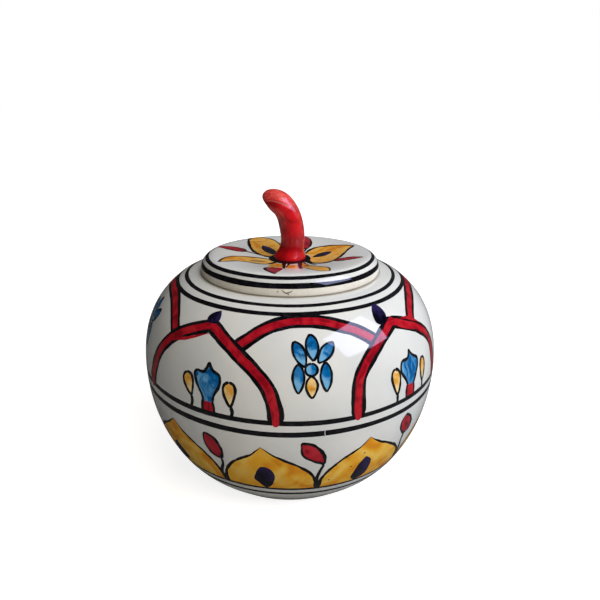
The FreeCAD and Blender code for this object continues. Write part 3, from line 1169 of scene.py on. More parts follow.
# %% Their seeds
seed_drawings = (
    (((0.1, -7.1), (-0.9, -6.1), (-2.7, -3.1), (-4.1, -1.1), (-3.6, 1.9), (-2.6, 4.8), (-1.2, 6.9)),
     ((0.1, -7.1), (1.9, -5.2), (3.2, -2.0), (3.9, 1.4), (3.3, 4.6), (1.0, 6.9), (-1.2, 6.9))),
    (((-1.4, -7.2), (-3.7, -4.5), (-3.6, -1.1), (-2.1, 4.5), (0.0, 7.4)),
     ((-1.4, -7.2), (1.5, -6.0), (3.5, 1.0), (2.6, 5.2), (0.0, 7.4))),
    (((-0.5, -5.4), (-4.3, -4.0), (-3.9, 0.3), (-2.4, 3.4), (-0.1, 5.3)),
     ((-0.5, -5.4), (2.1, -4.4), (4.4, -2.4), (2.2, 2.4), (-0.1, 5.3))),
)
seed_places = ((-9.5, 30.0), (29.0, 30.0), (69.0, 30.5), (110.5, 30.0), (150.5, 30.4), (-169.5, 30.2),
               (-129.0, 30.6), (-88.0, 30.2), (-50.5, 30.0))
for number, place in enumerate(seed_places):
    left_edge, right_edge = seed_drawings[number % len(seed_drawings)]
    edges = (at_place(place, left_edge), at_place(place, right_edge))
    seed_pads.append(jar_fill(*edges, LINE_LIFT, cells=10, dries=(0.7, 0.5)))
print(len(seed_pads), "seeds")

# %% [markdown]
# A leaf is a loop of black filled with red. It hangs from a stalk that rises where two
# petals meet, and the stalk is thickest there, where three lines run into one.

# %% Red leaves between the petals
leaf_pads = []
leaf_lines = []
leaf_drawings = (
    (((1.0, 5.8), (-1.7, 6.5), (-4.1, 9.1), (-5.5, 12.8), (-5.0, 16.6)),
     ((1.0, 5.8), (2.0, 8.9), (0.7, 13.5), (-1.9, 16.0), (-5.0, 16.6)),
     ((1.0, 5.9), (1.0, 2.8), (-0.7, -2.1), (-0.2, -7.4))),
    (((1.4, 6.2), (-4.0, 9.0), (-6.8, 11.7), (-7.5, 14.6), (-7.7, 17.3)),
     ((1.4, 6.2), (1.5, 9.0), (-0.9, 14.0), (-3.3, 16.2), (-7.7, 17.3)),
     ((1.2, 6.2), (0.3, 3.0), (-0.6, -0.9), (-0.4, -7.8))),
    (((-1.8, 8.4), (-5.1, 11.5), (-5.9, 15.6), (-3.7, 18.4)),
     ((-1.8, 8.4), (1.2, 9.6), (1.5, 13.0), (-0.8, 16.8), (-3.7, 18.4)),
     ((-1.8, 8.5), (-2.1, 5.5), (-1.2, 1.0), (0.2, -7.0))),
)
leaf_height = 32.0
stalk_widths = (1.1, 1.2, 1.7, 2.2)
for number, gap in enumerate(petal_gaps):
    left_edge, right_edge, stalk_points = leaf_drawings[number % len(leaf_drawings)]
    spot = (gap, leaf_height)
    left = at_place(spot, left_edge)
    right = at_place(spot, right_edge)
    leaf_pads.append(jar_fill(left, right, UNDER_LIFT, cells=8, dries=(0.3, 0.6)))
    for side, widths in ((left, (1.2, 0.9, 0.6)), (right, (1.2, 1.3, 1.0))):
        leaf_lines.append(jar_stroke(side, widths, LINE_LIFT, step=0.5, wander=0.08, unsteady=0.3))
    leaf_lines.append(jar_stroke(at_place(spot, stalk_points), stalk_widths, STALK_LIFT, step=0.6))
print(len(leaf_pads), "leaves between the petals")

# %% [markdown]
# A few small accidents belong to this jar: specks of black on the petals and a nick
# across the lower belly ring, where white shows.

# %% Specks and a nick
speck_places = ((15.0, 27.5), (23.0, 33.6), (27.6, 39.4), (83.0, 44.0), (-120.0, 70.0))
speck_width = 0.55
for turn, up in speck_places:
    speck = [(turn, up), (turn + 0.6, up + 0.3)]
    leaf_lines.append(jar_stroke(speck, speck_width, TOP_LIFT, cells=4, step=0.3))
nicks = (
    (((11.9, 51.2), (11.5, 53.4), (11.7, 55.4)), 0.22),
    (((-141.0, 56.2), (-139.5, 58.8)), 0.3),
)
nick_pads = [jar_stroke(line, width, TOP_LIFT, step=0.4, end="point") for line, width in nicks]
print(len(speck_places), "specks and", len(nick_pads), "nicks")

# %% [markdown]
# The jar's painting is done, and each colour's strokes are joined to one piece that
# rides on the jar. The pieces are made in the order of the names below.

# %% Joining the jar's paint, colour by colour
jar_pads = {
    "paint_ring_lines": ring_pads,
    "paint_arch_black": arch_black,
    "paint_arch_red": arch_red,
    "paint_flower_blue": blue_pads,
    "paint_bud_yellow": yellow_pads,
    "paint_tulip_red": red_pads,
    "paint_flower_lines": black_pads,
    "paint_dark_buds": bud_pads,
    "paint_petal_ochre": ochre_pads,
    "paint_petal_lines": petal_lines + leaf_lines,
    "paint_petal_seeds": seed_pads,
    "paint_leaf_red": leaf_pads,
    "paint_white_nicks": nick_pads,
}
painting = {name: painted_piece(name, pads, "jar", "glazed_body") for name, pads in jar_pads.items()}

# %% [markdown]
# The lid has its own drawing: four ochre petals round the stem, each with a dark seed,
# thin red leaves between them, a black ring round the stem's foot, and two rings on the
# rim. It is drawn in plan, right and away from the viewer, and then laid on the lid.

# %% Plan places on the lid
def on_lid(plan):
    """Turns (right, back) millimetres on the lid into (degrees, distance along its outline)."""
    plan = np.asarray(plan, float)
    radius = np.hypot(plan[:, 0], plan[:, 1])
    turn = np.degrees(np.arctan2(plan[:, 0], -plan[:, 1]))
    turn = np.degrees(np.unwrap(np.radians(turn)))
    return np.stack([turn, lid_top.along_at_radius(radius)], axis=1)


def lid_fill(left, right, lift, **facts):
    """A filled shape on the lid, whose edges are given in plan."""
    return filled(lid_top, on_lid(left), on_lid(right), lift, **facts)


def lid_stroke(line, width, lift, **facts):
    """A brush stroke on the lid, whose line is given in plan."""
    return stroke(lid_top, on_lid(line), width, lift, **facts)

# %% [markdown]
# A petal is given by its two edges, from its foot to its tip, and by the widths of the
# lines along them. Seeds and leaves are nearly even, so a middle line, a width and the
# place where they are widest are enough. Each leaf also has a stalk.

# %% The lid's petals, seeds and leaves
lid_petals = (
    (((-6.8, 0.6), (-9.8, 1.6), (-14.2, 5.4), (-17.4, 12.4), (-18.6, 19.5), (-18.6, 25.0), (-17.2, 29.4)),
     ((-3.6, 7.0), (-3.0, 12.0), (-4.0, 18.0), (-7.0, 24.0), (-11.4, 27.9), (-17.2, 29.4)), (1.35, 0.8)),
    (((6.4, 6.6), (9.0, 12.0), (14.4, 14.8), (20.0, 15.0), (24.6, 14.0), (28.2, 12.6)),
     ((7.0, -4.4), (9.6, -10.2), (13.4, -11.8), (17.6, -8.9), (21.6, -1.6), (24.9, 6.3), (28.2, 12.6)),
     (1.2, 1.2)),
    (((-6.4, -3.8), (-10.4, -2.2), (-15.0, -1.5), (-21.0, -2.6), (-25.4, -6.0), (-28.4, -15.0)),
     ((-5.8, -7.6), (-8.6, -11.8), (-12.0, -13.0), (-16.4, -11.8), (-20.6, -11.6), (-24.6, -13.6),
      (-28.4, -15.0)),
     (1.0, 1.1)),
    (((5.6, -8.6), (7.4, -13.6), (9.8, -17.6), (12.4, -19.8), (14.4, -21.6), (15.2, -25.0), (15.2, -28.2)),
     ((3.8, -10.6), (4.8, -17.0), (6.4, -22.0), (8.6, -25.8), (11.4, -28.4), (15.2, -28.2)), (0.7, 0.5)),
)
lid_seeds = (
    ((-5.8, 4.4), (-12.2, 16.6), 5.0),
    ((9.6, 0.2), (17.8, 6.8), 4.8),
    ((-9.6, -6.6), (-17.0, -8.4), 1.6),
    ((5.6, -13.4), (7.4, -17.4), 1.6),
)
lid_leaves = (
    ((-18.8, 6.4), (-32.2, 11.0), 5.4, 0.38, ((-8.0, 1.4), (-13.0, 3.6))),
    ((17.6, -9.0), (30.4, -7.2), 4.8, 0.36, ((7.8, -8.2), (13.0, -10.6))),
    ((7.0, 12.6), (7.2, 31.0), 5.2, 0.5, ((4.6, 6.4), (6.2, 9.6))),
)
lid_ochre = []
lid_lines = []
lid_dark = []
lid_red = []
for left, right, line_widths in lid_petals:
    lid_ochre.append(lid_fill(left, right, FILL_LIFT, cells=16, rows=44, dries=(0.5, 0.6)))
    for side, line_width in zip((left, right), line_widths):
        tapering = (line_width * 1.2, line_width, line_width * 0.8)
        lid_lines.append(lid_stroke(side, tapering, LINE_LIFT, step=0.5, unsteady=0.3))
for start, end, width in lid_seeds:
    seed_left, seed_right = leaf_edges(start, end, width, belly=0.52)
    lid_dark.append(lid_fill(seed_left, seed_right, LINE_LIFT, cells=6, dries=(0.5, 0.5)))
for start, end, width, belly, stalk in lid_leaves:
    edges = leaf_edges(start, end, width, belly=belly)
    lid_red.append(lid_fill(*edges, UNDER_LIFT, cells=6, dries=(1.0, 0.4)))
    for side in edges:
        lid_lines.append(lid_stroke(side, (1.0, 0.7, 0.35), LINE_LIFT, step=0.5, unsteady=0.35, end="point"))
    lid_lines.append(lid_stroke(stalk + (start,), (1.0, 0.7, 0.9), LINE_LIFT, step=0.5))
print(len(lid_ochre), "petals and", len(lid_red), "leaves on the lid")

# %% [markdown]
# In front of the stem the painter ended with short work: a red leaf that points to the
# rim, three small ochre dabs, and black strokes that run out from the ring round the
# stem's foot.

# %% The front of the lid and the ring round the stem
front_leaf_left = ((-6.4, -19.6), (-9.4, -22.0), (-9.6, -25.0), (-8.1, -28.8), (-5.4, -32.2))
front_leaf_right = ((-6.4, -19.6), (-3.2, -21.4), (-2.9, -24.4), (-3.7, -27.6), (-5.4, -32.2))
lid_red.append(lid_fill(front_leaf_left, front_leaf_right, UNDER_LIFT, cells=8, rows=30, dries=(0.4, -0.6)))
lid_lines.append(lid_stroke(front_leaf_left, (0.6, 1.3, 1.0), LINE_LIFT, step=0.5))
front_dabs = (
    (((-7.0, -8.6), (-8.2, -13.0), (-8.8, -19.0)), ((-2.9, -10.6), (-2.9, -15.0), (-3.3, -19.4))),
    (((-0.6, -12.6), (-1.2, -17.0), (-1.6, -21.8)), ((3.1, -12.0), (3.3, -17.0), (3.4, -22.0))),
    (((4.9, -11.2), (5.4, -15.6), (5.9, -20.4)), ((7.2, -10.2), (7.8, -15.0), (8.4, -19.6))),
)
for left, right in front_dabs:
    lid_ochre.append(lid_fill(left, right, DAB_LIFT, cells=6, rows=12, dries=(1.0, 0.5)))
front_strokes = (
    (((-2.3, -9.0), (-2.4, -15.0), (-2.3, -22.4)), (1.7, 1.2, 1.0)),
    (((3.9, -9.0), (4.0, -15.0), (4.3, -23.4)), (2.0, 1.4, 1.2)),
    (((6.4, -6.6), (8.6, -11.0), (10.6, -15.2)), (1.6, 1.0, 0.7)),
    (((-0.2, -9.4), (-1.0, -14.0), (-1.4, -18.4)), (1.4, 0.7, 0.5)),
    (((-5.4, -6.8), (-7.6, -9.6), (-9.0, -12.6)), (1.6, 1.0, 0.7)),
)
for line, widths in front_strokes:
    lid_lines.append(lid_stroke(line, widths, BAND_LIFT, step=0.5))
stem_ring_radius = 7.5
stem_ring_middle = np.array([0.0, -0.9])
stem_ring_widths = (2.0, 2.6, 4.0, 2.6, 2.0)
ring_turn = np.radians(np.linspace(170, 550, 77))
ring_outwards = np.stack([np.sin(ring_turn), -np.cos(ring_turn)], axis=1)
around_foot = stem_ring_middle + stem_ring_radius * ring_outwards
lid_lines.append(lid_stroke(around_foot, stem_ring_widths, STEM_RING_LIFT, cells=6, step=0.5, wander=0.15,
                            unsteady=0.15))
print(len(lid_lines), "black lines on the lid")

# %% [markdown]
# Two rings are drawn on the rim. The side below them is bare clay, with a fine crack in
# front that dirt has darkened.

# %% The rings on the rim and the crack below them
past_crest = lid_top.outline[:, 0] > crest_radius + 1


def down_the_side(height):
    """The distance along the lid's outline at a height on its rim or side."""
    return float(np.interp(-height, -lid_top.outline[past_crest, 1], lid_top.along[past_crest]))


inner_ring_radius = 34.8
outer_ring_height = 94.2
crack_width = 0.32
inner_ring_along = float(lid_top.along_at_radius(inner_ring_radius))
outer_ring_along = down_the_side(outer_ring_height)
lid_rings = [
    ring_line(lid_top, inner_ring_along, 1.6, LINE_LIFT, cells=4, wander=0.12),
    ring_line(lid_top, outer_ring_along, 1.9, LINE_LIFT, cells=6, wander=0.08),
]
crack_lines = (
    ((-5.0, 93.2), (-3.0, 92.2), (-1.2, 91.6)),
    ((1.6, 92.8), (-0.6, 92.2), (-2.6, 92.1)),
    ((-1.4, 92.1), (-0.6, 91.2)),
)
lid_cracks = []
for line in crack_lines:
    crack = [(turn, down_the_side(height)) for turn, height in line]
    lid_cracks.append(stroke(lid_top, crack, crack_width, TOP_LIFT, step=0.3, wander=0.0, start="point",
                             end="point"))
lid_pads = {
    "paint_lid_ochre": lid_ochre,
    "paint_lid_lines": lid_lines,
    "paint_lid_seeds": lid_dark,
    "paint_lid_red": lid_red,
    "paint_lid_rings": lid_rings,
    "lid_crack": lid_cracks,
}
painting.update({name: painted_piece(name, pads, "lid", "glazed_lid") for name, pads in lid_pads.items()})

# %% [markdown]
# Every finish is built from nodes. A few effects recur in all of them: the slow ripple
# of a fired glaze, the clouds and streaks of watery pigment, and the dark specks of
# iron in the clay. Each of these is a group with named sockets, built once.

# %% Helpers for node trees
def node(tree, kind, inputs=None, **settings):
    """Adds a node, sets its properties, and fills or links its named or numbered inputs."""
    made = tree.nodes.new(kind)
    for name, value in settings.items():
        setattr(made, name, value)
    for name, value in (inputs or {}).items():
        if isinstance(value, bpy.types.NodeSocket):
            tree.links.new(value, made.inputs[name])
        else:
            made.inputs[name].default_value = value
    return made


def maths(tree, operation, *values):
    """The result of an operation on numbers or sockets."""
    return node(tree, "ShaderNodeMath", dict(enumerate(values)), operation=operation).outputs[0]


def times(tree, first, second):
    """The product of two numbers or sockets."""
    return maths(tree, "MULTIPLY", first, second)


def about_half(tree, value, factor):
    """A noise's distance from its middle value of a half, times a factor."""
    return times(tree, maths(tree, "SUBTRACT", value, 0.5), factor)


def remap(tree, value, low, high, to_low=0.0, to_high=1.0):
    """A value's share of the way from low to high, held between 0 and 1, as that share of the way
    from to_low to to_high."""
    facts = {"Value": value, "From Min": low, "From Max": high, "To Min": to_low, "To Max": to_high}
    return node(tree, "ShaderNodeMapRange", facts, clamp=True).outputs["Result"]


def blend_colour(tree, share, first, second):
    """The first colour times the rest of the share, plus the second times the share."""
    return node(tree, "ShaderNodeMix", {0: share, 6: first, 7: second}, data_type="RGBA").outputs[2]


def noise(tree, place, scale, detail=3.0, roughness=0.5, distortion=0.0):
    """A cloudy value about a half: scale is in waves per metre, detail in layers of finer waves."""
    facts = {"Vector": place, "Scale": scale, "Detail": detail, "Roughness": roughness,
             "Distortion": distortion}
    return node(tree, "ShaderNodeTexNoise", facts).outputs["Fac"]


def attribute(tree, name):
    """A number that is stored with the piece's vertices."""
    return node(tree, "ShaderNodeAttribute", attribute_name=name).outputs["Fac"]


def object_place(tree):
    """A spot's place on the piece, in metres, which stays with the piece when it moves."""
    return tree.nodes.new("ShaderNodeTexCoord").outputs["Object"]

# %% [markdown]
# A node group is like a function: its sockets are its arguments and results. It is
# made once, and a group node in a material's tree calls it.

# %% Helpers for node groups
FLOAT = "NodeSocketFloat"
COLOUR = "NodeSocketColor"
VECTOR = "NodeSocketVector"


def new_group(name, inputs, outputs):
    """An empty node group with the named sockets, and its two end nodes."""
    tree = bpy.data.node_groups.new(name, "ShaderNodeTree")
    for socket, kind, default in inputs:
        made = tree.interface.new_socket(socket, in_out="INPUT", socket_type=kind)
        if default is not None:
            made.default_value = default
    for socket, kind in outputs:
        tree.interface.new_socket(socket, in_out="OUTPUT", socket_type=kind)
    return tree, tree.nodes.new("NodeGroupInput"), tree.nodes.new("NodeGroupOutput")


def use_group(tree, group, inputs):
    """A node that stands for the group, with its inputs filled or linked."""
    return node(tree, "ShaderNodeGroup", inputs, node_tree=group)

# %% [markdown]
# Molten glaze settles in slow waves, and the edge of a reflection bends as it crosses
# them. Two noises make the waves, a broad one and a fainter one nearly four times finer.
# A Bump node turns their height into a normal, and its strength is the group's socket.

# %% The ripple of a fired glaze
BROAD_WAVES = 45.0
FINE_WAVES = 170.0
FINE_SHARE = 0.16

glaze_ripple, given, result = new_group("glaze_ripple", [("Strength", FLOAT, 0.3)], [("Normal", VECTOR)])
place = object_place(glaze_ripple)
slow = noise(glaze_ripple, place, BROAD_WAVES, detail=1.0)
quick = noise(glaze_ripple, place, FINE_WAVES, detail=1.0)
height = maths(glaze_ripple, "ADD", slow, times(glaze_ripple, quick, FINE_SHARE))
bump = node(glaze_ripple, "ShaderNodeBump",
            {"Strength": given.outputs["Strength"], "Distance": 0.0006, "Height": height})
glaze_ripple.links.new(bump.outputs["Normal"], result.inputs["Normal"])
print(glaze_ripple.name, "has", len(glaze_ripple.nodes), "nodes")

# %% [markdown]
# Iron in the clay burns to dark specks, and gas leaves pinholes. A Voronoi pattern cuts
# space into cells. Each cell draws a number, and where that number is below the wanted
# share, a small ball about the cell's middle becomes a speck.

# %% Specks of iron and pinholes
kiln_specks, given, result = new_group(
    "kiln_specks",
    [("Cells", FLOAT, 260.0), ("Share", FLOAT, 0.06), ("Size", FLOAT, 0.09)],
    [("Mask", FLOAT)])
place = object_place(kiln_specks)
cells = node(kiln_specks, "ShaderNodeTexVoronoi", {"Vector": place, "Scale": given.outputs["Cells"]})
lottery = node(kiln_specks, "ShaderNodeSeparateColor", {"Color": cells.outputs["Color"]}).outputs[0]
drawn = maths(kiln_specks, "LESS_THAN", lottery, given.outputs["Share"])
near = maths(kiln_specks, "LESS_THAN", cells.outputs["Distance"], given.outputs["Size"])
kiln_specks.links.new(times(kiln_specks, drawn, near), result.inputs["Mask"])
print(kiln_specks.name, "has", len(kiln_specks.nodes), "nodes")

# %% [markdown]
# Oxide in water never covers evenly. It clouds, shows the hairs of the brush, pools dark
# at the edge of a stroke, and goes pale where the brush runs dry. The group works out
# those four effects and mixes three tones of one colour by them. The clouds read Object
# coordinates, and the rest reads what was stored with each stroke.

# %% Watery pigment: clouds and streaks along the brush
POOL_REACH_MM = 0.9
HAIR_SCALE = 2.4
ALONG_AND_ACROSS = (0.22, 1.1, 1.0)

watery_pigment, given, result = new_group(
    "watery_pigment",
    [("Deep", COLOUR, None), ("Middle", COLOUR, None), ("Thin", COLOUR, None), ("Cloud scale", FLOAT, 130.0),
     ("Streaks", FLOAT, 0.4), ("Pooling", FLOAT, 0.5), ("Thinness", FLOAT, 0.5), ("Fading", FLOAT, 0.0)],
    [("Color", COLOUR), ("Thin mask", FLOAT)])
tree = watery_pigment
flow = node(tree, "ShaderNodeUVMap", uv_map="flow").outputs["UV"]
stretched = node(tree, "ShaderNodeMapping", {"Vector": flow, "Scale": ALONG_AND_ACROSS}).outputs["Vector"]
clouds = noise(tree, object_place(tree), given.outputs["Cloud scale"], detail=1.2, distortion=1.6)
streaks = noise(tree, stretched, HAIR_SCALE, detail=2.0, roughness=0.6)
mixed = maths(tree, "ADD", clouds, about_half(tree, streaks, given.outputs["Streaks"]))

# %% [markdown]
# The deep tone goes where the clouds are dense or the paint pooled. The thin tone goes
# where they are sparse or the brush was dry, with a ragged border. The rest is middle.

# %% Watery pigment: pools, pale places and the three tones
pool = remap(tree, attribute(tree, "edge_mm"), 0.0, POOL_REACH_MM, 1.0, 0.0)
pooled = times(tree, pool, given.outputs["Pooling"])
worn = times(tree, remap(tree, mixed, 0.5, 0.68), given.outputs["Thinness"])
ragged_load = maths(tree, "ADD", attribute(tree, "brush_dry"), about_half(tree, mixed, 0.8))
faded = times(tree, remap(tree, ragged_load, 0.44, 0.72), given.outputs["Fading"])
thin = maths(tree, "MAXIMUM", worn, faded)
deep = maths(tree, "MAXIMUM", remap(tree, mixed, 0.47, 0.34), pooled)
colour = blend_colour(tree, deep, given.outputs["Middle"], given.outputs["Deep"])
colour = blend_colour(tree, thin, colour, given.outputs["Thin"])
tree.links.new(colour, result.inputs["Color"])
tree.links.new(thin, result.inputs["Thin mask"])
print("node groups:", ", ".join(group.name for group in bpy.data.node_groups))

# %% [markdown]
# White glaze is a thin layer of glass over a pale body. The Principled shader is the
# glass and the body in one: a pale base colour, almost no roughness, and a ripple in
# the normal. Where the glaze was wiped off so that lid and jar didn't fuse, the bare
# clay shows, so one mask swaps both colour and roughness there.

# %% A glassy material
WHITE_GLAZE = (0.74, 0.745, 0.735, 1)
WHITE_GLAZE_THICK = (0.66, 0.685, 0.695, 1)
BARE_CLAY = (0.78, 0.75, 0.67, 1)
BARE_CLAY_DARK = (0.58, 0.51, 0.40, 1)
SPECK = (0.10, 0.07, 0.05, 1)
# Painted shade: the brown of a dark line where the lid meets the seat.
SEAM_SHADE_BROWN = (0.16, 0.10, 0.055, 1)
GLAZE_ROUGHNESS = 0.05
CLAY_ROUGHNESS = 0.68
RIPPLE = 0.4


def new_material(name, colour, kind="ShaderNodeBsdfPrincipled"):
    """A material that holds one shader, its node tree and that shader."""
    made = bpy.data.materials.new(name)
    made.use_nodes = True
    made.diffuse_color = colour
    tree = made.node_tree
    tree.nodes.clear()
    shader = tree.nodes.new(kind)
    output = tree.nodes.new("ShaderNodeOutputMaterial")
    tree.links.new(shader.outputs[0], output.inputs["Surface"])
    return made, tree, shader


def glaze_over(tree, shader, roughness=GLAZE_ROUGHNESS):
    """The glassy surface that all painted and white parts share: smooth, with a slow ripple."""
    shader.inputs["Roughness"].default_value = roughness
    wave = use_group(tree, glaze_ripple, {"Strength": RIPPLE}).outputs["Normal"]
    tree.links.new(wave, shader.inputs["Normal"])

# %% [markdown]
# Neither clay nor white glaze is one flat colour. Noises of two sizes mix a paler and a
# darker tone, and the specks of iron go on top.

# %% The colours of clay and of white glaze
def clay_colour(tree):
    """Pale clay, darker by up to a half in broad stains and by up to 0.3 in its grain, with specks."""
    place = object_place(tree)
    grain = noise(tree, place, 700.0, detail=4.0)
    stain = noise(tree, place, 60.0, detail=3.0)
    colour = blend_colour(tree, remap(tree, stain, 0.52, 0.75, 0.0, 0.5), BARE_CLAY, BARE_CLAY_DARK)
    colour = blend_colour(tree, remap(tree, grain, 0.55, 0.8, 0.0, 0.3), colour, BARE_CLAY_DARK)
    specks = use_group(tree, kiln_specks, {"Cells": 420.0, "Share": 0.10, "Size": 0.16}).outputs["Mask"]
    return blend_colour(tree, times(tree, specks, 0.6), colour, SPECK)


def white_colour(tree):
    """White that is bluer where the glaze lies thick, in slow clouds, with a few small specks."""
    place = object_place(tree)
    cloud = noise(tree, place, 38.0, detail=3.0)
    colour = blend_colour(tree, remap(tree, cloud, 0.4, 0.7), WHITE_GLAZE, WHITE_GLAZE_THICK)
    specks = use_group(tree, kiln_specks, {"Cells": 210.0, "Share": 0.05, "Size": 0.07}).outputs["Mask"]
    return blend_colour(tree, times(tree, specks, 0.7), colour, SPECK)

# %% [markdown]
# A potter wipes the glaze off by hand, so its border is never a true circle. Each mask
# compares a height or a radius with a limit, after a noise has made it ragged.

# %% Where the clay is bare, and the painted shade in the seam
def height_and_radius(tree):
    """The height of a spot and its distance from the jar's axis, in metres."""
    parts = node(tree, "ShaderNodeSeparateXYZ", {"Vector": object_place(tree)})
    flat = node(tree, "ShaderNodeCombineXYZ", {"X": parts.outputs["X"], "Y": parts.outputs["Y"]}).outputs[0]
    radius = node(tree, "ShaderNodeVectorMath", {0: flat}, operation="LENGTH").outputs["Value"]
    return parts.outputs["Z"], radius


def unevenly(tree, scale, size):
    """A ragged border's depth in metres: a noise times a size."""
    return times(tree, noise(tree, object_place(tree), scale), size)


def painted_seam_shade(tree, colour):
    """Painted shade where the lid meets the seat: a brown that fades out half a millimetre above and below
    the seat, and over half a millimetre about the lid's radius."""
    height, radius = height_and_radius(tree)
    ragged_radius = maths(tree, "SUBTRACT", radius, unevenly(tree, 90.0, 0.0012))
    from_seat = maths(tree, "ABSOLUTE", maths(tree, "SUBTRACT", height, seat_z * MM))
    low = remap(tree, from_seat, 0.0001, 0.0005, 1.0, 0.0)
    near = remap(tree, ragged_radius, (lid_radius - 0.3) * MM, (lid_radius + 0.25) * MM, 1.0, 0.0)
    share = times(tree, times(tree, low, near), 0.5)
    return blend_colour(tree, share, colour, SEAM_SHADE_BROWN)


def seat_is_bare(tree):
    """1 within two millimetres below the seat's height and inside its ragged outer edge."""
    height, radius = height_and_radius(tree)
    within = maths(tree, "ADD", radius, unevenly(tree, 180.0, 0.0016))
    high = maths(tree, "GREATER_THAN", height, (seat_z - 2.0) * MM)
    inner = maths(tree, "LESS_THAN", within, (seat_radius - 0.2) * MM)
    return times(tree, high, inner)


def lid_side_is_bare(tree):
    """1 below a ragged line about four millimetres up the lid's side."""
    height, _ = height_and_radius(tree)
    ragged_height = maths(tree, "ADD", height, unevenly(tree, 120.0, 0.0009))
    return maths(tree, "LESS_THAN", ragged_height, (seat_z + 4.2) * MM)

# %% [markdown]
# The pot and the lid have the same glaze, and differ only in where it was wiped off.

# %% The two white shells
def glazed_with_bare(name, bare_mask):
    """White glaze, and bare clay where the mask is 1. bare_mask builds the mask in the tree."""
    made, tree, shader = new_material(name, WHITE_GLAZE)
    bare = bare_mask(tree)
    # Painted shade: a dark brown line where the lid meets the seat, on the pot and the lid.
    colour = painted_seam_shade(tree, blend_colour(tree, bare, white_colour(tree), clay_colour(tree)))
    tree.links.new(colour, shader.inputs["Base Color"])
    glaze_over(tree, shader)
    roughness = remap(tree, bare, 0.0, 1.0, GLAZE_ROUGHNESS, CLAY_ROUGHNESS)
    tree.links.new(roughness, shader.inputs["Roughness"])
    return made


jar_shell.data.materials.append(glazed_with_bare("white_glaze_jar", seat_is_bare))
lid_shell.data.materials.append(glazed_with_bare("white_glaze_lid", lid_side_is_bare))
print("the glaze covers", jar_shell.name, "and", lid_shell.name)

# %% [markdown]
# The foot ring and the flange were never glazed. Fired clay is dull and slightly gritty,
# so one fine noise gives both its roughness and its bump.

# %% Bare clay
clay_material, tree, shader = new_material("bare_clay", BARE_CLAY)
tree.links.new(clay_colour(tree), shader.inputs["Base Color"])
grain = noise(tree, object_place(tree), 900.0, detail=3.0)
tree.links.new(remap(tree, grain, 0.3, 0.7, 0.6, 0.85), shader.inputs["Roughness"])
rough_clay = node(tree, "ShaderNodeBump", {"Strength": 0.4, "Distance": 0.0002, "Height": grain})
tree.links.new(rough_clay.outputs["Normal"], shader.inputs["Normal"])
for piece in (foot_shell, flange):
    piece.data.materials.append(clay_material)
    print(piece.name, "is bare clay")

# %% [markdown]
# The colours are metal oxides in water. Cobalt goes on strong and dries pale where the
# brush lifts. Iron red and ochre cloud and pool. Black is drawn last, almost solid. One
# function mixes all of them from three tones each: pooled, even and worn thin. The same
# glaze lies over them all, apart from the lid's black, which dried nearly matt.

# %% Painted colours
def pigment(name, piece_names, deep, middle, thin, cloud_scale=130.0, streaks=0.4, pooling=0.4,
            thinness=0.5, fading=0.0, roughness=GLAZE_ROUGHNESS, gloss=0.5):
    """Gives the named pieces a paint under glaze: the watery pigment's colour on a glassy shader
    whose specular level is gloss."""
    made, tree, shader = new_material(name, middle)
    shader.inputs["Specular IOR Level"].default_value = gloss
    values = {"Deep": deep, "Middle": middle, "Thin": thin, "Cloud scale": cloud_scale, "Streaks": streaks,
              "Pooling": pooling, "Thinness": thinness, "Fading": fading}
    wash = use_group(tree, watery_pigment, values)
    tree.links.new(wash.outputs["Color"], shader.inputs["Base Color"])
    glaze_over(tree, shader, roughness=roughness)
    for piece_name in piece_names:
        painting[piece_name].data.materials.append(made)
    print(name, "is on", ", ".join(piece_names))


pigment(
    "line_black",
    ("paint_ring_lines", "paint_arch_black", "paint_flower_lines", "paint_petal_lines", "paint_lid_rings"),
    (0.002, 0.002, 0.003, 1), (0.004, 0.004, 0.006, 1), (0.020, 0.020, 0.026, 1),
    cloud_scale=420.0, pooling=0.2, thinness=0.6)
pigment(
    "lid_black", ("paint_lid_lines",),
    (0.002, 0.002, 0.003, 1), (0.003, 0.003, 0.005, 1), (0.012, 0.012, 0.016, 1),
    cloud_scale=420.0, pooling=0.2, roughness=0.3, gloss=0.05)
pigment(
    "arch_red", ("paint_arch_red", "paint_tulip_red"),
    (0.23, 0.003, 0.010, 1), (0.42, 0.006, 0.018, 1), (0.56, 0.024, 0.032, 1),
    cloud_scale=150.0, streaks=0.7, pooling=0.3)
pigment(
    "leaf_red", ("paint_leaf_red", "paint_lid_red"),
    (0.12, 0.004, 0.010, 1), (0.38, 0.010, 0.024, 1), (0.48, 0.035, 0.050, 1),
    cloud_scale=150.0, pooling=0.4, fading=0.3)
pigment(
    "petal_ochre", ("paint_petal_ochre",),
    (0.72, 0.27, 0.010, 1), (0.82, 0.41, 0.026, 1), (0.90, 0.60, 0.12, 1),
    cloud_scale=78.0, streaks=0.35, pooling=0.25, thinness=0.8)
pigment(
    "lid_ochre", ("paint_lid_ochre",),
    (0.66, 0.24, 0.012, 1), (0.80, 0.37, 0.035, 1), (0.84, 0.54, 0.16, 1),
    cloud_scale=120.0, streaks=0.6, pooling=0.25, thinness=0.7, fading=0.35)
pigment(
    "bud_yellow", ("paint_bud_yellow",),
    (0.62, 0.25, 0.018, 1), (0.74, 0.38, 0.06, 1), (0.88, 0.70, 0.38, 1),
    cloud_scale=160.0, pooling=0.2, thinness=0.7, fading=0.9)
pigment(
    "flower_blue", ("paint_flower_blue",),
    (0.001, 0.075, 0.24, 1), (0.001, 0.135, 0.40, 1), (0.17, 0.44, 0.72, 1),
    cloud_scale=170.0, streaks=0.35, pooling=0.3, thinness=0.2, fading=0.95)
pigment(
    "seed_navy", ("paint_dark_buds", "paint_petal_seeds", "paint_lid_seeds"),
    (0.001, 0.001, 0.003, 1), (0.004, 0.003, 0.014, 1), (0.035, 0.022, 0.12, 1),
    cloud_scale=160.0, pooling=0.3, thinness=0.4, fading=0.5)
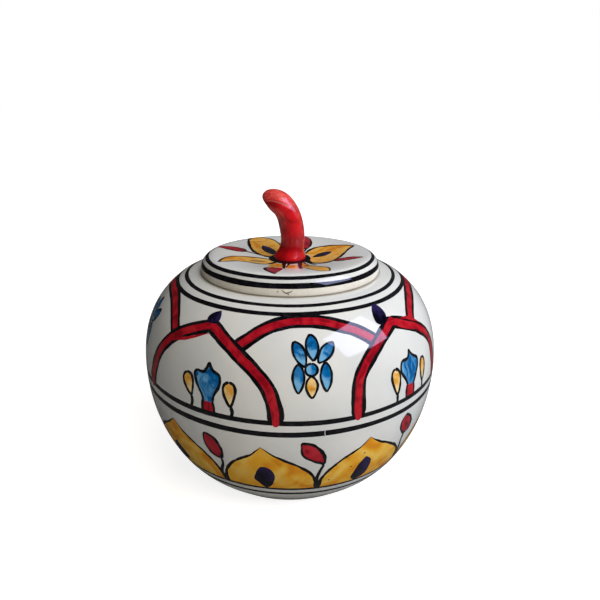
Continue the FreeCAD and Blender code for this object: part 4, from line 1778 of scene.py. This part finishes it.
pigment("nick_white", ("paint_white_nicks",), WHITE_GLAZE, WHITE_GLAZE, WHITE_GLAZE_THICK)
pigment("crack_brown", ("lid_crack",), (0.16, 0.13, 0.10, 1), (0.30, 0.26, 0.21, 1), (0.46, 0.42, 0.35, 1))

# %% [markdown]
# The stem's red glaze is thin and grainy. Salmon is painted on the side that catches the
# light, a painted highlight that grows with the height on the stem. A pale line along the
# crease is a painted highlight and the dark band beside it painted shade. The numbers stored
# on the stem say where all this is, and noises of three sizes make patches, blotches and grain.

# %% The stem's red: patches, and painted light in salmon on the lit side
STEM_RED = (0.62, 0.008, 0.013, 1)
STEM_RED_DEEP = (0.34, 0.003, 0.007, 1)
STEM_CREASE_SHADE = (0.17, 0.003, 0.006, 1)
STEM_LIT_SALMON = (0.78, 0.135, 0.115, 1)
STEM_CREASE_HIGHLIGHT = (0.86, 0.42, 0.33, 1)
STEM_ROUGHNESS = 0.17
CREASE_MIDDLE_MM = 0.3
SHADE_MIDDLE_MM = 1.3

stem_material, tree, shader = new_material("stem_red_glaze", (0.5, 0.02, 0.03, 1))
place = object_place(tree)
patches = noise(tree, place, 130.0, detail=3.0, distortion=0.5)
blotches = noise(tree, place, 420.0, detail=4.0, distortion=0.6)
grain = noise(tree, place, 1500.0, detail=2.0)
crease = attribute(tree, "crease_mm")
along = attribute(tree, "along_mm")
red = blend_colour(tree, remap(tree, patches, 0.40, 0.6), STEM_RED_DEEP, STEM_RED)
# Painted light: salmon on the side of the stem that catches the light, more of it higher up.
grows_upwards = remap(tree, along, 7.0, 25.0, 0.1, 1.0)
lit_top_side = times(tree, remap(tree, attribute(tree, "lit_side"), -0.05, 0.45), grows_upwards)
blotched = remap(tree, about_half(tree, blotches, 1.4), -0.22, 0.22, 0.3, 1.0)
grained = remap(tree, grain, 0.4, 0.6, 0.55, 1.0)
salmon = times(tree, lit_top_side, times(tree, blotched, grained))
red = blend_colour(tree, salmon, red, STEM_LIT_SALMON)

# %% [markdown]
# The crease's painted highlight and painted shade are drawn last, as they lie over patches
# and salmon alike. The skin is like an orange's: a soft bump with fine grain in it, so its highlights break
# up.

# %% The stem's crease in painted highlight and painted shade, its gloss and its skin
from_middle = maths(tree, "ABSOLUTE", maths(tree, "SUBTRACT", crease, CREASE_MIDDLE_MM))
# Painted highlight: a pale line right along the crease.
crease_highlight = remap(tree, from_middle, 0.08, 0.40, 0.6, 0.0)
red = blend_colour(tree, crease_highlight, red, STEM_CREASE_HIGHLIGHT)
# Painted shade: a dark band beside the crease, towards the tip.
from_shade = maths(tree, "ABSOLUTE", maths(tree, "ADD", crease, SHADE_MIDDLE_MM))
near_shade = remap(tree, from_shade, 0.4, 2.0, 0.6, 0.0)
shade = times(tree, near_shade, remap(tree, along, 23.0, 26.0))
red = blend_colour(tree, shade, red, STEM_CREASE_SHADE)
tree.links.new(red, shader.inputs["Base Color"])
shader.inputs["Roughness"].default_value = STEM_ROUGHNESS
orange_peel = maths(tree, "ADD", noise(tree, place, 110.0, detail=1.0), times(tree, grain, 0.22))
peel = node(tree, "ShaderNodeBump", {"Strength": 0.5, "Distance": 0.0006, "Height": orange_peel})
tree.links.new(peel.outputs["Normal"], shader.inputs["Normal"])
stem_piece.data.materials.append(stem_material)
print("the stem's red takes", len(tree.nodes), "nodes")

# %% [markdown]
# The camera stands where the photographer stood and looks down over the lid. From there
# every ring of the jar and the lid looks like an ellipse. How round each one is tells
# how steeply the camera looks down, and their sizes tell how near it stands.

# %% The camera
camera_place = Vector((0.0, -249.58, 164.875)) * MM
camera_down = math.radians(19.563)
camera_data = bpy.data.cameras.new("camera")
camera_data.lens = 36.77
camera_data.sensor_width = 36.0
camera_data.shift_x = 0.0167
camera_data.clip_start = 0.01
camera = bpy.data.objects.new("camera", camera_data)
camera.location = camera_place
camera.rotation_euler = (math.pi / 2 - camera_down, 0, 0)
bpy.context.scene.collection.objects.link(camera)
bpy.context.scene.camera = camera
print("the camera is", round(camera_place.length, 3), "m from the jar's foot")

# %% [markdown]
# The jar stood by a window high on the right, which shows as a clean patch in the glaze.
# A lamp stands for it, and the patch says where it must be: at the mirror direction of
# the view at that spot. It is hidden from dull surfaces, so it lights nothing, and soft
# lamps at the front, at the side, behind and above do that. All of those but the faint
# one behind are hidden from the glaze, where each would show as one more window.

# %% Where the window is, found from its reflection
patch_turn = math.radians(26.0)
patch_along = 86.6
patch_place, patch_facing = jar_paint_wall.spot(np.array(patch_turn), np.array(patch_along))
patch_place = Vector(patch_place) * MM
patch_facing = Vector(patch_facing)
view = (patch_place - camera_place).normalized()
mirror = view - 2 * view.dot(patch_facing) * patch_facing
print("the window lies towards", tuple(round(value, 2) for value in mirror))

# %% [markdown]
# A soft lamp is a glowing rectangle that faces the jar. Its place is given as the jar
# would see it: how far round from the front, how high in the sky, and how far away.

# %% A soft lamp, and where it stands
window_distance = 0.9
jar_middle_z = 0.05
jar_middle = (0, 0, jar_middle_z)


def soft_light(name, place, aim, size, size_y, power, colour):
    """A rectangular lamp that faces a point, hidden from the camera."""
    lamp = bpy.data.lights.new(name, "AREA")
    lamp.shape = "RECTANGLE"
    lamp.size = size
    lamp.size_y = size_y
    lamp.energy = power
    lamp.color = colour
    made = bpy.data.objects.new(name, lamp)
    made.location = place
    made.rotation_euler = (Vector(aim) - Vector(place)).to_track_quat("-Z", "Y").to_euler()
    made.visible_camera = False
    bpy.context.scene.collection.objects.link(made)
    return made


def seen_from_jar(turn, height, distance):
    """A place at a turn from the front and a height, both in degrees, and a distance in metres.

    The distance's level part is its cosine of the height, and it swings round by the turn.
    The rest, its sine, goes up from the jar's middle.
    """
    level = math.cos(math.radians(height)) * distance
    up = jar_middle_z + math.sin(math.radians(height)) * distance
    turn = math.radians(turn)
    return Vector((math.sin(turn) * level, -math.cos(turn) * level, up))

# %% [markdown]
# The powers were first fitted to the brightness of white spots all round the jar, and
# then changed until white glaze came out about as it is written.

# %% The lamps
window_place = patch_place + mirror * window_distance
window = soft_light("window", window_place, patch_place, 0.66, 0.54, 8.0, (0.58, 0.63, 1.0))
window.visible_diffuse = False

# Each lamp's place, its two sizes in metres, its power in watts, its colour, and whether
# it shows in the glaze.
lamps = {
    "front_light": (seen_from_jar(35, 45, 1.3), 0.9, 0.9, 14.4, (1.0, 0.94, 0.84), False),
    "side_light": (seen_from_jar(80, 30, 1.3), 0.9, 0.9, 9.2, (0.72, 0.82, 1.0), False),
    "back_light": ((0.5, 1.2, 0.55), 1.8, 0.9, 0.2, (0.96, 0.95, 1.0), True),
    "top_light": ((0.3, 0.9, 1.1), 1.2, 1.2, 6.5, (0.95, 0.95, 1.0), False),
}
for name, (place, size, size_y, power, colour, in_glaze) in lamps.items():
    lamp = soft_light(name, place, jar_middle, size, size_y, power, colour)
    lamp.visible_glossy = in_glaze
    print(name, "gives", power, "watts from", tuple(round(value, 2) for value in place))

# %% [markdown]
# The jar stands on a pale floor that has no visible edge. The floor is dull and takes
# the jar's soft shadow. For the camera alone it also glows, more and more with the
# distance from the jar, until it is as white as the room behind. The glaze sees a darker
# floor, as it mirrors a dim room in the photograph.

# %% The floor
FLOOR_PALE = (0.50, 0.49, 0.47, 1)
FLOOR_IN_GLAZE = (0.10, 0.10, 0.10, 1)
WHITE = (1, 1, 1, 1)
floor_reach = 4.0
glow_near_jar = 0.83

floor_mesh = bpy.data.meshes.new("floor")
floor_corners = np.array([(-1, -1, 0), (1, -1, 0), (1, 1, 0), (-1, 1, 0)]) * floor_reach
floor_mesh.from_pydata(floor_corners.tolist(), [], [(0, 1, 2, 3)])
floor = bpy.data.objects.new("floor", floor_mesh)
bpy.context.scene.collection.objects.link(floor)
floor_material, tree, both = new_material("floor_pale", FLOOR_PALE, "ShaderNodeAddShader")
rays = tree.nodes.new("ShaderNodeLightPath")
floor_colour = blend_colour(tree, rays.outputs["Is Glossy Ray"], FLOOR_PALE, FLOOR_IN_GLAZE)
diffuse = node(tree, "ShaderNodeBsdfDiffuse", {"Color": floor_colour})
glow = node(tree, "ShaderNodeEmission", {"Color": WHITE})
_, from_jar = height_and_radius(tree)
whitening = remap(tree, from_jar, 0.2, 1.0, glow_near_jar, 1.0)
tree.links.new(times(tree, rays.outputs["Is Camera Ray"], whitening), glow.inputs["Strength"])
tree.links.new(diffuse.outputs[0], both.inputs[0])
tree.links.new(glow.outputs[0], both.inputs[1])
floor_mesh.materials.append(floor_material)
print("the floor reaches", floor_reach, "m each way")

# %% [markdown]
# The room is white to the camera, so the jar stands before a plain background. To the
# jar it is only a faint warm glow, which keeps the shaded side from going black.

# %% The room
ROOM_WARM = (1.0, 0.955, 0.90, 1)
room_level = 0.03
room_in_gloss = 0.025

world = bpy.data.worlds.new("room")
world.use_nodes = True
bpy.context.scene.world = world
tree = world.node_tree
background = tree.nodes["Background"]
rays = tree.nodes.new("ShaderNodeLightPath")
seen = remap(tree, rays.outputs["Is Glossy Ray"], 0.0, 1.0, room_level, room_in_gloss)
tree.links.new(maths(tree, "MAXIMUM", seen, rays.outputs["Is Camera Ray"]), background.inputs["Strength"])
warm_room = blend_colour(tree, rays.outputs["Is Camera Ray"], ROOM_WARM, WHITE)
tree.links.new(warm_room, background.inputs["Color"])
print("the room glows by", room_level, "on dull surfaces and", room_in_gloss, "in the glaze")

view_settings = bpy.context.scene.view_settings
view_settings.view_transform = "Standard"
